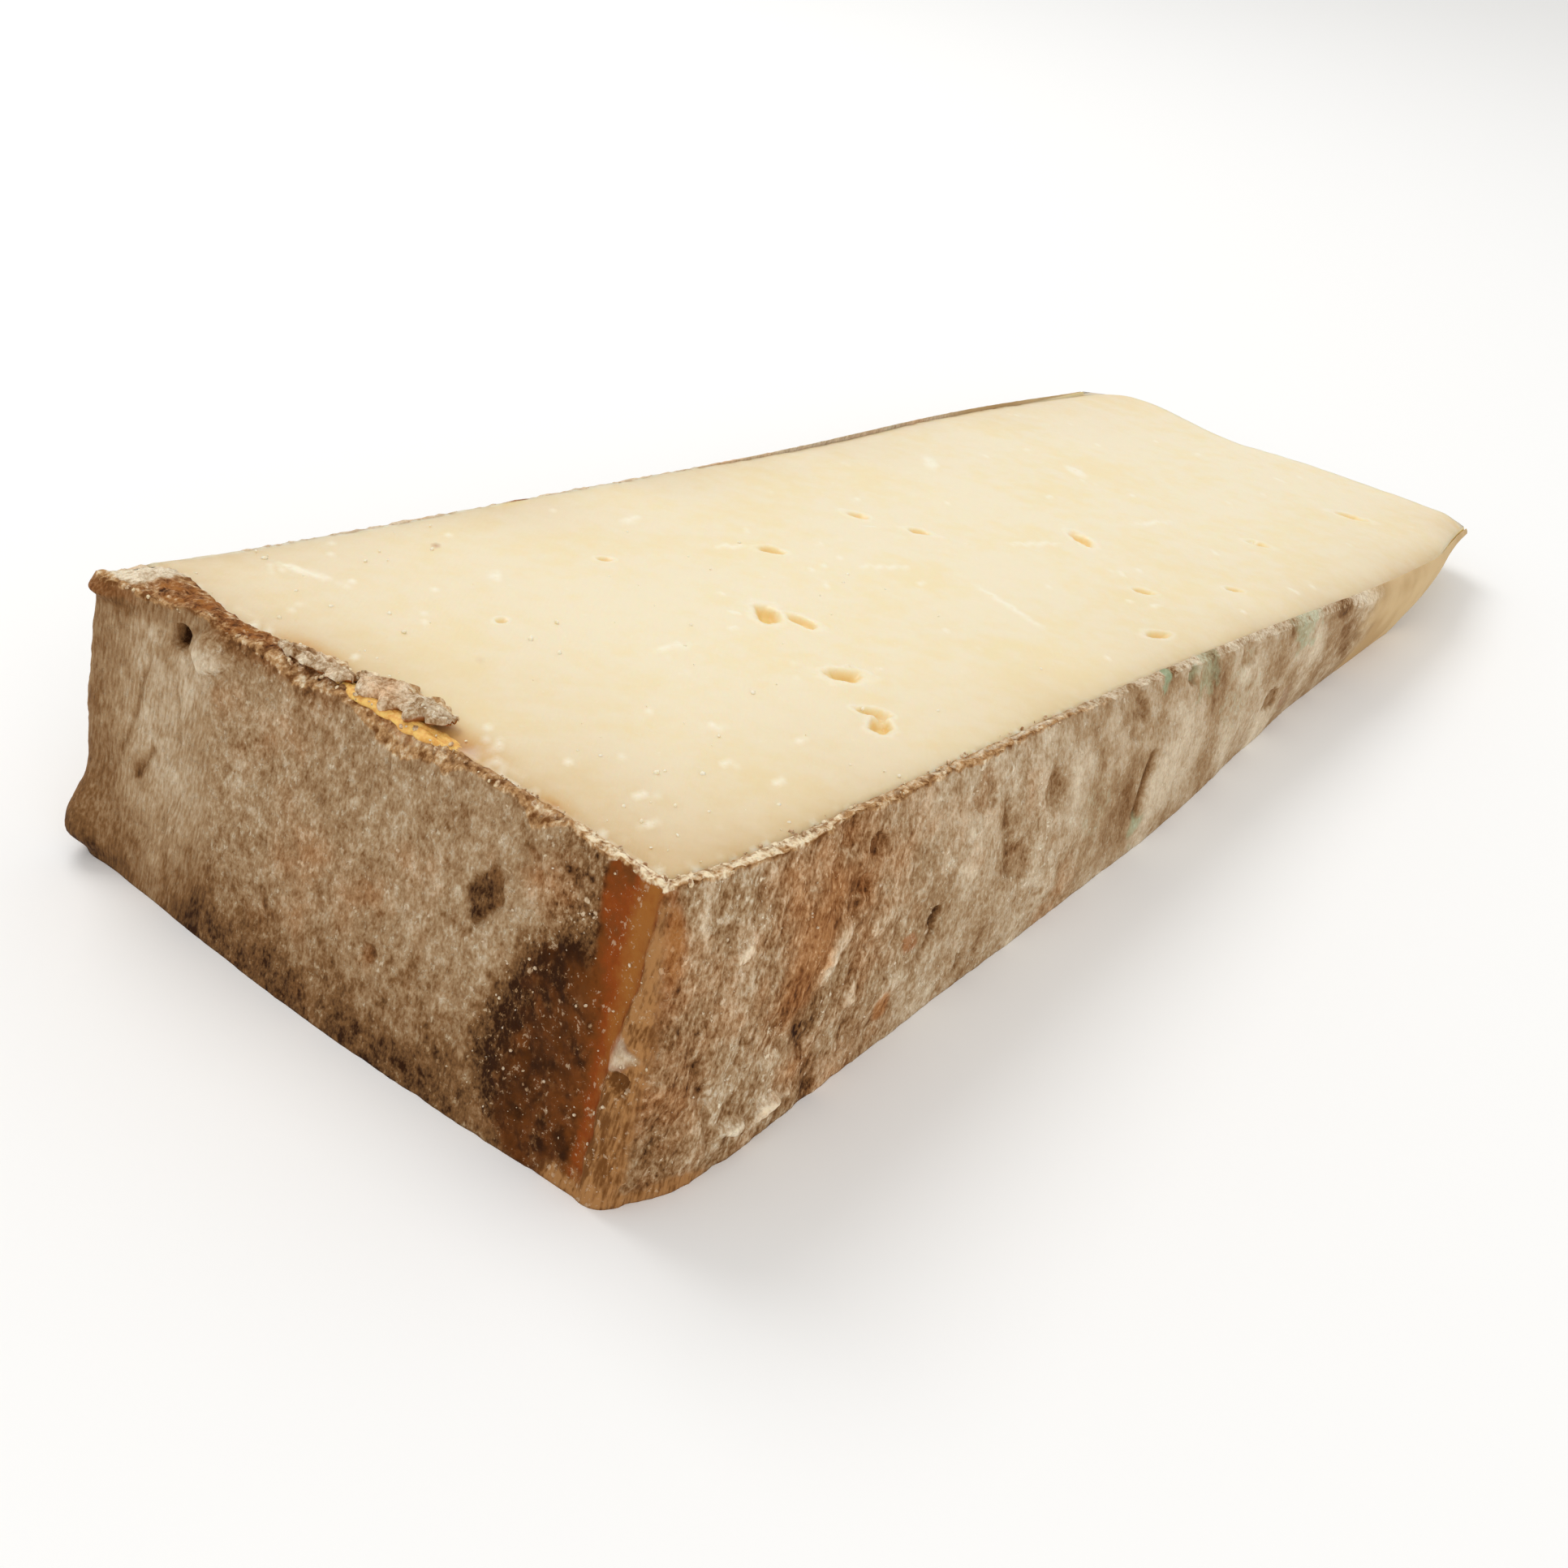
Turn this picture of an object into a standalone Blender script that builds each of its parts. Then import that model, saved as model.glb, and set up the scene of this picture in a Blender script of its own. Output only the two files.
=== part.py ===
"""Wedge of a natural-rind mountain cheese, lying on one of its two knife-cut faces.

The wedge comes from a flat wheel. The wheel's axis runs along Y, so WHEEL_HEIGHT is the
distance between its two rinded faces. +X points at the thin tip near the wheel's centre,
and -X at the heel, which is a piece of the wheel's rim. One cut face rests on Z = 0, and
the other is on top and slopes down towards the tip. Rind and paste are one solid.
Units are metres. The origin is the bottom centre of the bounding box.
"""

import math

import bmesh
import bpy
from mathutils import Vector, noise

MM = 0.001

# Driving dimensions
WHEEL_HEIGHT = 72 * MM
BASE_LENGTH = 166 * MM
HEEL_THICKNESS = 29.5 * MM
HEEL_LEAN = 7.5 * MM
TIP_OVERHANG = 37 * MM
TIP_TOP = 8.5 * MM
TIP_EDGE = 2.2 * MM
TOP_LENGTH = BASE_LENGTH + TIP_OVERHANG - HEEL_LEAN

# At the heel's -Y and +Y corners the upper edge leans in less than in its middle, by this much.
NEAR_TURN = 1.8 * MM
FAR_TURN = 5 * MM
# The heel and both rinded sides bulge a little between the cut faces.
HEEL_BULGE = 1.5 * MM
SIDE_BULGE = 0.9 * MM
# Towards the wheel's centre the upper face is wider: the wheel is thickest there.
BELLY = 2.6 * MM
BELLY_AT = 161 * MM
BELLY_REACH = 38 * MM
# The lower edge of the -Y side is spread outwards, from the heel as far as these two places.
SPREAD = 3 * MM
SPREAD_FADES = (84 * MM, 144 * MM)
# The heel's +Y corner flares a little.
CORNER_FLARE = 0.8 * MM
CORNER_REACH = 20 * MM
# The tip's edge swells at one place across the wedge and is dented at another.
TIP_SWELL = (27 * MM, 3.5 * MM)
TIP_DENT = (7 * MM, -2.5 * MM)
TIP_WAVE_REACH = 8 * MM
# Its two corners are worn back, starting this far out from the middle.
TIP_CORNER_WEAR = 6 * MM
TIP_CORNERS_FROM = 30 * MM
TIP_CORNERS_TO = 40 * MM
UNEVENNESS = 0.3 * MM
UNEVEN_SIZE = 24 * MM
NOISE_SHIFT = Vector((3.1, 7.7, 1.9))

# Cage: segments along the wedge, across it and through its thickness
SEGMENTS = (12, 5, 2)
BASE_SHARE = 10 / SEGMENTS[0]
SMOOTHING = 2
CUT_EDGE_CREASE = 1.0
RIND_CORNER_CREASE = 0.8
SHARP_FROM = math.radians(45)

# Eyes in the upper cut face, in mm and degrees: distance from the heel's lower edge, distance
# from the middle plane, length, width, and turn from the wedge's length
EYES = (
    (58.7, -2.7, 5.4, 3.4, 46),
    (60.8, -5.7, 4.7, 2.8, 90),
    (53.3, -17.2, 4.5, 3.4, -28),
    (47.2, -25.8, 5.5, 3.1, 35),
    (75.2, 9.8, 3.4, 2.2, -42),
    (97.2, 12.9, 3.4, 2.1, -67),
    (100.6, 5.4, 3.3, 2.1, -55),
    (122.0, -6.8, 5.8, 2.6, 60),
    (112.3, -21.4, 3.2, 2.1, -61),
    (99.9, -29.7, 3.9, 2.2, -17),
    (181.0, -22.0, 5.4, 2.6, -72),
)
EYE_DEPTH = 1.6 * MM
EYE_SIDES = 12
EYE_RINGS = 8

PASTE_COLOUR = (0.83, 0.72, 0.50, 1.0)
PASTE_ROUGHNESS = 0.42


def clear_scene():
    for obj in list(bpy.data.objects):
        bpy.data.objects.remove(obj)


def new_collection(name):
    collection = bpy.data.collections.new(name)
    bpy.context.scene.collection.children.link(collection)
    return collection


def move_to(obj, collection):
    for owner in list(obj.users_collection):
        owner.objects.unlink(obj)
    collection.objects.link(obj)


def cheese_material():
    material = bpy.data.materials.new("cheese")
    material.use_nodes = True
    shader = material.node_tree.nodes["Principled BSDF"]
    shader.inputs["Base Color"].default_value = PASTE_COLOUR
    shader.inputs["Roughness"].default_value = PASTE_ROUGHNESS
    shader.inputs["Metallic"].default_value = 0.0
    return material


def bump(distance, reach):
    """A smooth hump: 1 at no distance, almost 0 past twice the reach."""
    return math.exp(-((distance / reach) ** 2))


def fade(value, start, end):
    """Falls smoothly from 1 at start to 0 at end."""
    share = min(max((value - start) / (end - start), 0), 1)
    return 1 - share * share * (3 - 2 * share)


def top_point(along):
    """The upper cut face's centre line, from the heel at 0 to the tip at 1."""
    start = Vector((HEEL_LEAN, 0, HEEL_THICKNESS))
    end = Vector((HEEL_LEAN + TOP_LENGTH, 0, TIP_TOP))
    return start.lerp(end, along)


def bottom_point(along):
    """The same below: flat on the table, then rising under the overhanging tip."""
    if along <= BASE_SHARE:
        return Vector((BASE_LENGTH * along / BASE_SHARE, 0, 0))
    rise = (along - BASE_SHARE) / (1 - BASE_SHARE)
    start = Vector((BASE_LENGTH, 0, 0))
    end = Vector((BASE_LENGTH + TIP_OVERHANG, 0, TIP_TOP - TIP_EDGE))
    return start.lerp(end, rise)


def half_width(x, height, side):
    """Distance from the middle plane to the rinded side, at a height from 0 to 1."""
    width = WHEEL_HEIGHT / 2 + BELLY * height * bump(x - BELLY_AT, BELLY_REACH)
    width += SIDE_BULGE * math.sin(math.pi * height)
    if side < 0:
        return width + SPREAD * (1 - height) * fade(x, *SPREAD_FADES)
    return width + CORNER_FLARE * bump(x, CORNER_REACH)


def tip_wave(y):
    """How far the tip's edge stands out of its straight line."""
    waves = (TIP_SWELL, TIP_DENT)
    wave = sum(size * bump(y - place, TIP_WAVE_REACH) for place, size in waves)
    return wave - TIP_CORNER_WEAR * (1 - fade(abs(y), TIP_CORNERS_FROM, TIP_CORNERS_TO))


def on_wedge(along, across, height):
    """Where a point of the unit cage, given by its shares from 0 to 1, lies on the wedge."""
    point = bottom_point(along).lerp(top_point(along), height)
    side = 2 * across - 1
    point.y = side * half_width(point.x, height, side)
    turn = (NEAR_TURN if side < 0 else FAR_TURN) * side * side
    point.x -= turn * height * fade(along, 0, BASE_SHARE / 2)
    if along == 0:
        point.x -= HEEL_BULGE * math.sin(math.pi * across) * (1 - height / 2)
    if along == 1:
        point.x += tip_wave(point.y)
    uneven = noise.noise_vector(point / UNEVEN_SIZE + NOISE_SHIFT) * UNEVENNESS
    if height == 0 and along <= BASE_SHARE:
        uneven.z = 0
    return point + uneven


def subdivide_along(cage, axis, cuts):
    """Cuts every edge of the box that runs along one axis."""
    edges = [e for e in cage.edges if abs((e.verts[0].co - e.verts[1].co)[axis]) > 0.5]
    bmesh.ops.subdivide_edges(cage, edges=edges, cuts=cuts, use_grid_fill=True)


def crease_cage(cage):
    """Keeps the knife-cut edges sharp, and makes the rind's corners only tight."""
    crease = cage.edges.layers.float.new("crease_edge")
    for edge in cage.edges:
        first, second = edge.link_faces
        if first.normal.angle(second.normal) < SHARP_FROM:
            continue
        on_cut_face = max(abs(first.normal.z), abs(second.normal.z)) > 0.5
        edge[crease] = CUT_EDGE_CREASE if on_cut_face else RIND_CORNER_CREASE


def make_wedge(collection):
    """The body: a subdivided box drawn out into the wedge, then smoothed."""
    bpy.ops.mesh.primitive_cube_add(size=1)
    wedge = bpy.context.object
    wedge.name = "cheese_wedge"
    move_to(wedge, collection)
    cage = bmesh.new()
    cage.from_mesh(wedge.data)
    for axis, segments in enumerate(SEGMENTS):
        subdivide_along(cage, axis, segments - 1)
    cage.normal_update()
    crease_cage(cage)
    for vertex in cage.verts:
        along, across, height = (round(value + 0.5, 4) for value in vertex.co)
        vertex.co = on_wedge(along, across, height)
    cage.to_mesh(wedge.data)
    cage.free()
    smooth = wedge.modifiers.new("soft form", "SUBSURF")
    smooth.levels = SMOOTHING
    smooth.render_levels = SMOOTHING
    wedge.data.materials.append(cheese_material())
    return wedge


def make_eye_cutter(number, eye, collection):
    """A flattened sphere, half sunk in the upper cut face."""
    from_heel, from_middle, length, width, turn = eye
    share = (from_heel * MM - HEEL_LEAN) / TOP_LENGTH
    slope = math.atan2(HEEL_THICKNESS - TIP_TOP, TOP_LENGTH)
    place = top_point(share)
    bpy.ops.mesh.primitive_uv_sphere_add(segments=EYE_SIDES, ring_count=EYE_RINGS)
    cutter = bpy.context.object
    cutter.name = f"eye_cutter_{number}"
    cutter.scale = (length * MM / 2, width * MM / 2, EYE_DEPTH)
    cutter.rotation_euler = (0, slope, math.radians(turn))
    cutter.location = (place.x, from_middle * MM, place.z)
    cutter.hide_render = True
    cutter.display_type = "WIRE"
    move_to(cutter, collection)
    return cutter


def cut_eyes(wedge, cutters):
    cut = wedge.modifiers.new("eyes", "BOOLEAN")
    cut.operation = "DIFFERENCE"
    cut.operand_type = "COLLECTION"
    cut.collection = cutters
    cut.solver = "EXACT"


def base_centre_of(wedge):
    """The bottom centre of the finished body's bounding box."""
    bpy.context.view_layer.update()
    shape = wedge.evaluated_get(bpy.context.evaluated_depsgraph_get())
    corners = [Vector(corner) for corner in shape.bound_box]
    low = Vector(map(min, *corners))
    high = Vector(map(max, *corners))
    return Vector(((low.x + high.x) / 2, (low.y + high.y) / 2, 0))


def main():
    clear_scene()
    cheese = new_collection("cheese_wedge")
    cutters = new_collection("cutters")
    wedge = make_wedge(cheese)
    pieces = [wedge]
    for number, eye in enumerate(EYES, start=1):
        pieces.append(make_eye_cutter(number, eye, cutters))
    cut_eyes(wedge, cutters)
    base = bpy.data.objects.new("base_centre", None)
    cheese.objects.link(base)
    base.location = -base_centre_of(wedge)
    for piece in pieces:
        piece.parent = base


main()
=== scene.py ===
"""A cut wedge of natural-rind mountain cheese, built around its CAD model.

The paste and its eyes, the mouldy rind wrapped round three of its sides, two lifted flakes of
rind and the crumbs along the cut are separate pieces. Sizes inside the functions are in
millimetres, in the wedge's own coordinates: U runs from the heel's lower edge to the tip,
V across the wheel's height from its middle plane, and Z up from the table.
"""
import math
import random

import bmesh
import bpy
from mathutils import Matrix, Vector, noise


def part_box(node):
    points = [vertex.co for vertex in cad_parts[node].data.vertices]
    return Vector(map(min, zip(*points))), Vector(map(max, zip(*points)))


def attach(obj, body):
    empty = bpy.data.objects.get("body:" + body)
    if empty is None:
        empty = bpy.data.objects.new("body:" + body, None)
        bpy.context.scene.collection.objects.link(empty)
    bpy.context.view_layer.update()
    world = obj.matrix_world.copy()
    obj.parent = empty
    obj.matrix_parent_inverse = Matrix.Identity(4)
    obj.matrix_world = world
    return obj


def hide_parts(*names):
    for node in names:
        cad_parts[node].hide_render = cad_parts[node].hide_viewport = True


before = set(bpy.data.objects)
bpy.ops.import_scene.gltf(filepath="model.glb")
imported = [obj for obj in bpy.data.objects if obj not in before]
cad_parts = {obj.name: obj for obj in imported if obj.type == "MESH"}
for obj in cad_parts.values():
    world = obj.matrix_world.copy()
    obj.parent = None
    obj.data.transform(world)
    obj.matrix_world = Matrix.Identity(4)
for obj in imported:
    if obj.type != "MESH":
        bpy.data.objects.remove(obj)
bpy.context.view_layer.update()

bl_info = {
    "name": "Cheese wedge",
    "version": (1, 0, 0),
    "blender": (4, 5, 0),
    "location": "3D View > Sidebar > Cheese",
    "description": "Builds a wedge of natural-rind cheese with its eyes, rind, flakes and crumbs",
    "category": "Object",
}

NODE = "cheese_wedge"
MM = 0.001

# The wedge's own sizes in mm, as in its CAD model
WHEEL_HEIGHT = 72
BASE_LENGTH = 166
THICKNESS = 29.5
LEAN = 7.5
NEAR_TURN = 1.8
FAR_TURN = 5
OVERHANG = 37
TIP_TOP = 8.5
TIP_EDGE = 2.2
TOP_LENGTH = BASE_LENGTH + OVERHANG - LEAN
SLOPE = (THICKNESS - TIP_TOP) / TOP_LENGTH
BASE_SHARE = 10 / 12
HEEL_BULGE = 1.5
SIDE_BULGE = 0.9
# Wider towards the wheel's middle: by how much, where along U, and how far
BELLY, BELLY_AT, BELLY_REACH = 2.6, 161, 38
# The -V side's spread foot, and where along U it fades out
SPREAD = 3
SPREAD_FADES = (84, 144)
CORNER_FLARE, CORNER_REACH = 0.8, 20
# Waves of the tip's edge: where along V, and size. Its corners are worn back.
TIP_WAVES = ((27, 3.5), (7, -2.5))
TIP_WAVE_REACH = 8
TIP_CORNER_WEAR = 6
TIP_CORNERS = (30, 40)
BOX_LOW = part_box(NODE)[0]
ORIGIN = Vector((BOX_LOW.x + HEEL_BULGE * MM, BOX_LOW.y + (WHEEL_HEIGHT / 2 + SPREAD) * MM, 0))


def tone(red, green, blue):
    """A display colour, 0 to 255, as the linear colour that shaders take."""
    def linear(value):
        value /= 255
        return value / 12.92 if value <= 0.04045 else ((value + 0.055) / 1.055) ** 2.4
    return (linear(red), linear(green), linear(blue), 1.0)


def clamp(value):
    """Keeps a value between 0 and 1."""
    return min(max(value, 0.0), 1.0)


def step(value, start, end):
    """Rises smoothly from 0 at start to 1 at end."""
    share = clamp((value - start) / (end - start))
    return share * share * (3 - 2 * share)


def hump(distance, reach):
    """1 at no distance, falling smoothly to almost 0 past twice the reach."""
    return math.exp(-((distance / reach) ** 2))


def mixed(first, second, share):
    return first + (second - first) * share


def wander(point, size, seed=0.0):
    """Smooth noise from -1 to 1 whose features are about size mm."""
    return noise.noise(Vector(point) / size + Vector((seed, seed * 1.7, seed * 0.3)))


def placed(point):
    """A point in the wedge's millimetres, in the frame's metres."""
    return ORIGIN + Vector(point) * MM


# ---- the wedge's form

def top_height(u):
    return THICKNESS - SLOPE * (u - LEAN)


def half_width(u, height, side):
    """Distance from the middle plane to a rinded side; height runs from 0 to 1."""
    width = WHEEL_HEIGHT / 2 + BELLY * height * hump(u - BELLY_AT, BELLY_REACH)
    width += SIDE_BULGE * math.sin(math.pi * clamp(height))
    if side < 0:
        width -= 1.1 * height * hump(u - LEAN, 6) + 2.4 * step(u, 178, 206)
        foot = SPREAD * (1 - height) * (1 - step(u, *SPREAD_FADES)) * (1 - hump(u, 5))
        return width + foot
    return width + CORNER_FLARE * hump(u, CORNER_REACH)


def tip_wave(v):
    """How far the tip's edge stands out of its straight line."""
    wave = sum(size * hump(v - place, TIP_WAVE_REACH) for place, size in TIP_WAVES)
    return wave - TIP_CORNER_WEAR * step(abs(v - 0.5), *TIP_CORNERS)


def body_point(along, side, height):
    """The wedge's outer surface: along 0 to 1, side -1 to 1, height 0 to 1."""
    if along <= BASE_SHARE:
        low_u, low_z = BASE_LENGTH * along / BASE_SHARE, 0.0
    else:
        rise = (along - BASE_SHARE) / (1 - BASE_SHARE)
        low_u = BASE_LENGTH + OVERHANG * rise
        low_z = (TIP_TOP - TIP_EDGE) * rise
        low_z = max(0.0, low_z - 0.8 * hump(rise, 0.35))
        low_z += 1.5 * hump(rise - 0.68, 0.28) * step(-side, 0.4, 1)
    high_u = LEAN + TOP_LENGTH * along
    u = mixed(low_u, high_u, height)
    v = side * half_width(u, height, side)
    turn = (NEAR_TURN if side < 0 else FAR_TURN) * side * side
    u -= turn * height * (1 - step(along, 0, BASE_SHARE / 2))
    bulge = HEEL_BULGE * math.cos(side * math.pi / 2) * (1 - height / 2)
    u -= bulge * hump(along, 0.04)
    u += tip_wave(v) * step(along, 0.8, 1)
    z = mixed(low_z, top_height(u), height)
    return Vector((u, v, z))


# ---- settings

def paint(name, description, red, green, blue):
    """A setting that holds a display colour."""
    return bpy.props.FloatVectorProperty(
        name=name, description=description, size=4, default=tone(red, green, blue),
        min=0, max=1, subtype="COLOR")


class CheesePasteSettings(bpy.types.PropertyGroup):
    inset: bpy.props.FloatProperty(
        name="Inset", description="How deep the paste's sides lie under the rind's skin",
        default=1.1 * MM, min=0.0, unit="LENGTH")
    eye_depth: bpy.props.FloatProperty(
        name="Eye depth", description="Depth of the largest eyes below the cut",
        default=1.3 * MM, min=0.0, unit="LENGTH")
    nicks: bpy.props.IntProperty(
        name="Nicks", description="Number of small pale nicks left by the knife",
        default=90, min=0)
    cream: paint("Cream", "The paste's main colour", 243, 229, 196)
    straw: paint("Straw", "Yellower patches in the paste", 243, 225, 180)
    # Tan also paints the shade at the cut's -V heel corner
    tan: paint("Tan", "The paste close to the rind", 206, 174, 126)
    amber: paint("Amber", "Inside the eyes and under the rind", 238, 202, 122)
    # Pale also paints the highlight ring round each eye
    pale: paint("Pale", "Nicks and torn curd", 250, 242, 220)


class CheeseRindSettings(bpy.types.PropertyGroup):
    thickness: bpy.props.FloatProperty(
        name="Thickness", description="Thickness of the rind's crust",
        default=1.5 * MM, min=0.5 * MM, unit="LENGTH")
    roughness: bpy.props.FloatProperty(
        name="Roughness", description="How strongly the crust is pitted and wrinkled",
        default=1.0, min=0.0, subtype="FACTOR")
    stain: paint("Stain", "Darkest stains of the bare crust", 52, 27, 9)
    crust: paint("Crust", "Brown crust under thin mould", 128, 91, 55)
    powder: paint("Powder", "Crust covered by powdery mould", 168, 138, 103)
    bloom: paint("Bloom", "The thickest, whitest mould", 240, 225, 198)
    orange: paint("Orange", "Bare smear-ripened strip", 138, 66, 20)
    amber: paint("Amber", "Yellower edge of the bare strip", 156, 98, 42)
    ridge: paint("Ridge", "The corner's waxy ridge", 168, 121, 74)
    green: paint("Green", "Spots of green mould", 150, 180, 146)


class CheeseCrumbSettings(bpy.types.PropertyGroup):
    paste_crumbs: bpy.props.IntProperty(
        name="Paste crumbs", description="Number of crumbs of paste on the cut",
        default=90, min=1)
    rind_crumbs: bpy.props.IntProperty(
        name="Rind crumbs", description="Number of crumbs of crust along the rims",
        default=200, min=1)
    mould_grains: bpy.props.IntProperty(
        name="Mould grains", description="Number of coarse mould grains on the rind",
        default=160, min=1)


class CheeseStageSettings(bpy.types.PropertyGroup):
    key: bpy.props.FloatProperty(
        name="Key light", description="Power of the large lamp above the wedge",
        default=2.9, min=0.0, unit="POWER")
    fill: bpy.props.FloatProperty(
        name="Fill light", description="Power of the lamp beside the camera",
        default=1.85, min=0.0, unit="POWER")
    air: bpy.props.FloatProperty(
        name="Room light", description="Brightness of the room around the stage",
        default=0.74, min=0.0, subtype="FACTOR")
    floor: bpy.props.FloatVectorProperty(
        name="Floor", description="The floor's colour",
        size=4, default=(0.96, 0.96, 0.955, 1.0), min=0, max=1, subtype="COLOR")


# ---- materials

class Recipe:
    """Builds one material from nodes. Every call returns the new node's output."""

    def __init__(self, name):
        self.material = bpy.data.materials.new(name)
        self.material.use_nodes = True
        self.tree = self.material.node_tree
        self.shader = self.tree.nodes["Principled BSDF"]
        coords = self.tree.nodes.new("ShaderNodeTexCoord")
        self.place = self.add(
            "ShaderNodeVectorMath", {0: coords.outputs["Object"], "Scale": 1 / MM},
            operation="SCALE")

    def add(self, kind, inputs, output=0, **settings):
        node = self.tree.nodes.new(kind)
        for name, value in settings.items():
            setattr(node, name, value)
        for key, value in inputs.items():
            if isinstance(value, bpy.types.NodeSocket):
                self.tree.links.new(value, node.inputs[key])
            else:
                node.inputs[key].default_value = value
        return node.outputs[output]

    def grain(self, size, detail=2.0, rough=0.5, stretch=None, turn=(0, 0, 0)):
        """Noise around 0.5 with features of about size mm, drawn out along turned axes."""
        place = self.place
        if stretch:
            place = self.add(
                "ShaderNodeMapping", {"Vector": place, "Scale": stretch, "Rotation": turn},
                vector_type="TEXTURE")
        return self.add("ShaderNodeTexNoise", {
            "Vector": place, "Scale": 1 / size, "Detail": detail, "Roughness": rough})

    def dots(self, spacing, reach, ragged):
        """1 inside ragged dots of mixed sizes, about one to spacing mm, and 0 between."""
        away = self.add("ShaderNodeTexVoronoi", {"Vector": self.place, "Scale": 1 / spacing})
        chance = self.add("ShaderNodeSeparateColor", {"Color": away.node.outputs["Color"]})
        radius = self.times(self.calc("POWER", chance, 2.5), reach)
        inside = self.total(radius, self.times(away, -1.0), ragged)
        return self.band(inside, 0.0, 0.12)

    def ramp(self, value, *stops):
        """A colour for each value, from stops of position and colour."""
        colour = self.add("ShaderNodeValToRGB", {"Fac": value})
        elements = colour.node.color_ramp.elements
        elements.remove(elements[1])
        for number, (position, shade) in enumerate(stops):
            element = elements.new(position) if number else elements[0]
            element.position = position
            element.color = shade
        return colour

    def calc(self, operation, first, second=0.0, limit=False):
        return self.add(
            "ShaderNodeMath", {0: first, 1: second}, operation=operation, use_clamp=limit)

    def swing(self, value, amount):
        """A noise value turned into a swing around 0."""
        return self.times(self.calc("SUBTRACT", value, 0.5), amount)

    def total(self, *values):
        result = values[0]
        for value in values[1:]:
            result = self.calc("ADD", result, value)
        return result

    def times(self, *values):
        result = values[0]
        for value in values[1:]:
            result = self.calc("MULTIPLY", result, value)
        return result

    def band(self, value, low, high):
        """Rises smoothly from 0 at low to 1 at high."""
        return self.add("ShaderNodeMapRange", {
            "Value": value, "From Min": low, "From Max": high},
            interpolation_type="SMOOTHSTEP")

    def blend(self, share, first, second, mode="MIX"):
        return self.add(
            "ShaderNodeMix", {0: share, 6: first, 7: second}, output=2,
            data_type="RGBA", blend_type=mode)

    def masks(self, name):
        """The four channels of a painted attribute."""
        node = self.tree.nodes.new("ShaderNodeAttribute")
        node.attribute_name = name
        split = self.tree.nodes.new("ShaderNodeSeparateColor")
        self.tree.links.new(node.outputs["Color"], split.inputs[0])
        return (*split.outputs, node.outputs["Alpha"])

    def bump(self, height, distance):
        return self.add("ShaderNodeBump", {
            "Height": height, "Distance": distance * MM, "Strength": 1.0})

    def finish(self, **sockets):
        for name, value in sockets.items():
            entry = self.shader.inputs[name.replace("_", " ")]
            if isinstance(value, bpy.types.NodeSocket):
                self.tree.links.new(value, entry)
            else:
                entry.default_value = value
        return self.material


SPECK_BROWN = tone(166, 88, 22)
MOULD_DUST = tone(208, 180, 148)
WARMTH = tone(255, 206, 158)


def paste_material(looks):
    """Waxy pale paste: clouds of straw in cream, tanned by the rind, amber in the eyes; painted
    shade at the -V heel corner, a painted highlight round each eye.
    """
    recipe = Recipe("cheese_paste")
    grain, swing, total = recipe.grain, recipe.swing, recipe.total
    times, band, blend = recipe.times, recipe.band, recipe.blend
    tan, amber, pale, speck = recipe.masks("tints")
    cloud = grain(16, 3, 0.55)
    curd = grain(3.2, 3, 0.6)
    fine = grain(0.7, 3, 0.6)
    fleck = band(grain(1.5, 4, 0.75), 0.62, 0.74)
    colour = blend(band(total(cloud, swing(curd, 0.7)), 0.35, 0.75), looks.cream, looks.straw)
    colour = blend(times(fleck, 0.35), colour, looks.pale)
    # The tan share, which also holds painted shade at the cut's -V heel corner
    colour = blend(
        recipe.calc("ADD", tan, times(swing(curd, 0.5), tan), True), colour, looks.tan)
    colour = blend(amber, colour, looks.amber)
    # The pale share, which also holds the painted highlight round the eyes
    colour = blend(
        recipe.calc("MULTIPLY", pale, band(fine, 0.2, 0.5), True), colour, looks.pale)
    colour = blend(speck, colour, SPECK_BROWN)
    marks = grain(0.35, 2, 0.5, stretch=(9.0, 1.0, 1.0), turn=(0, 0, 0.6))
    height = total(times(curd, 0.5), times(fine, 0.22), times(marks, 0.22))
    gloss = total(0.40, swing(curd, 0.25), swing(fine, 0.15))
    return recipe.finish(
        Base_Color=colour, Roughness=gloss, Normal=recipe.bump(height, 0.14),
        Subsurface_Weight=0.35, Subsurface_Radius=(1.0, 0.55, 0.28),
        Subsurface_Scale=4 * MM, Specular_IOR_Level=0.35)


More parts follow.
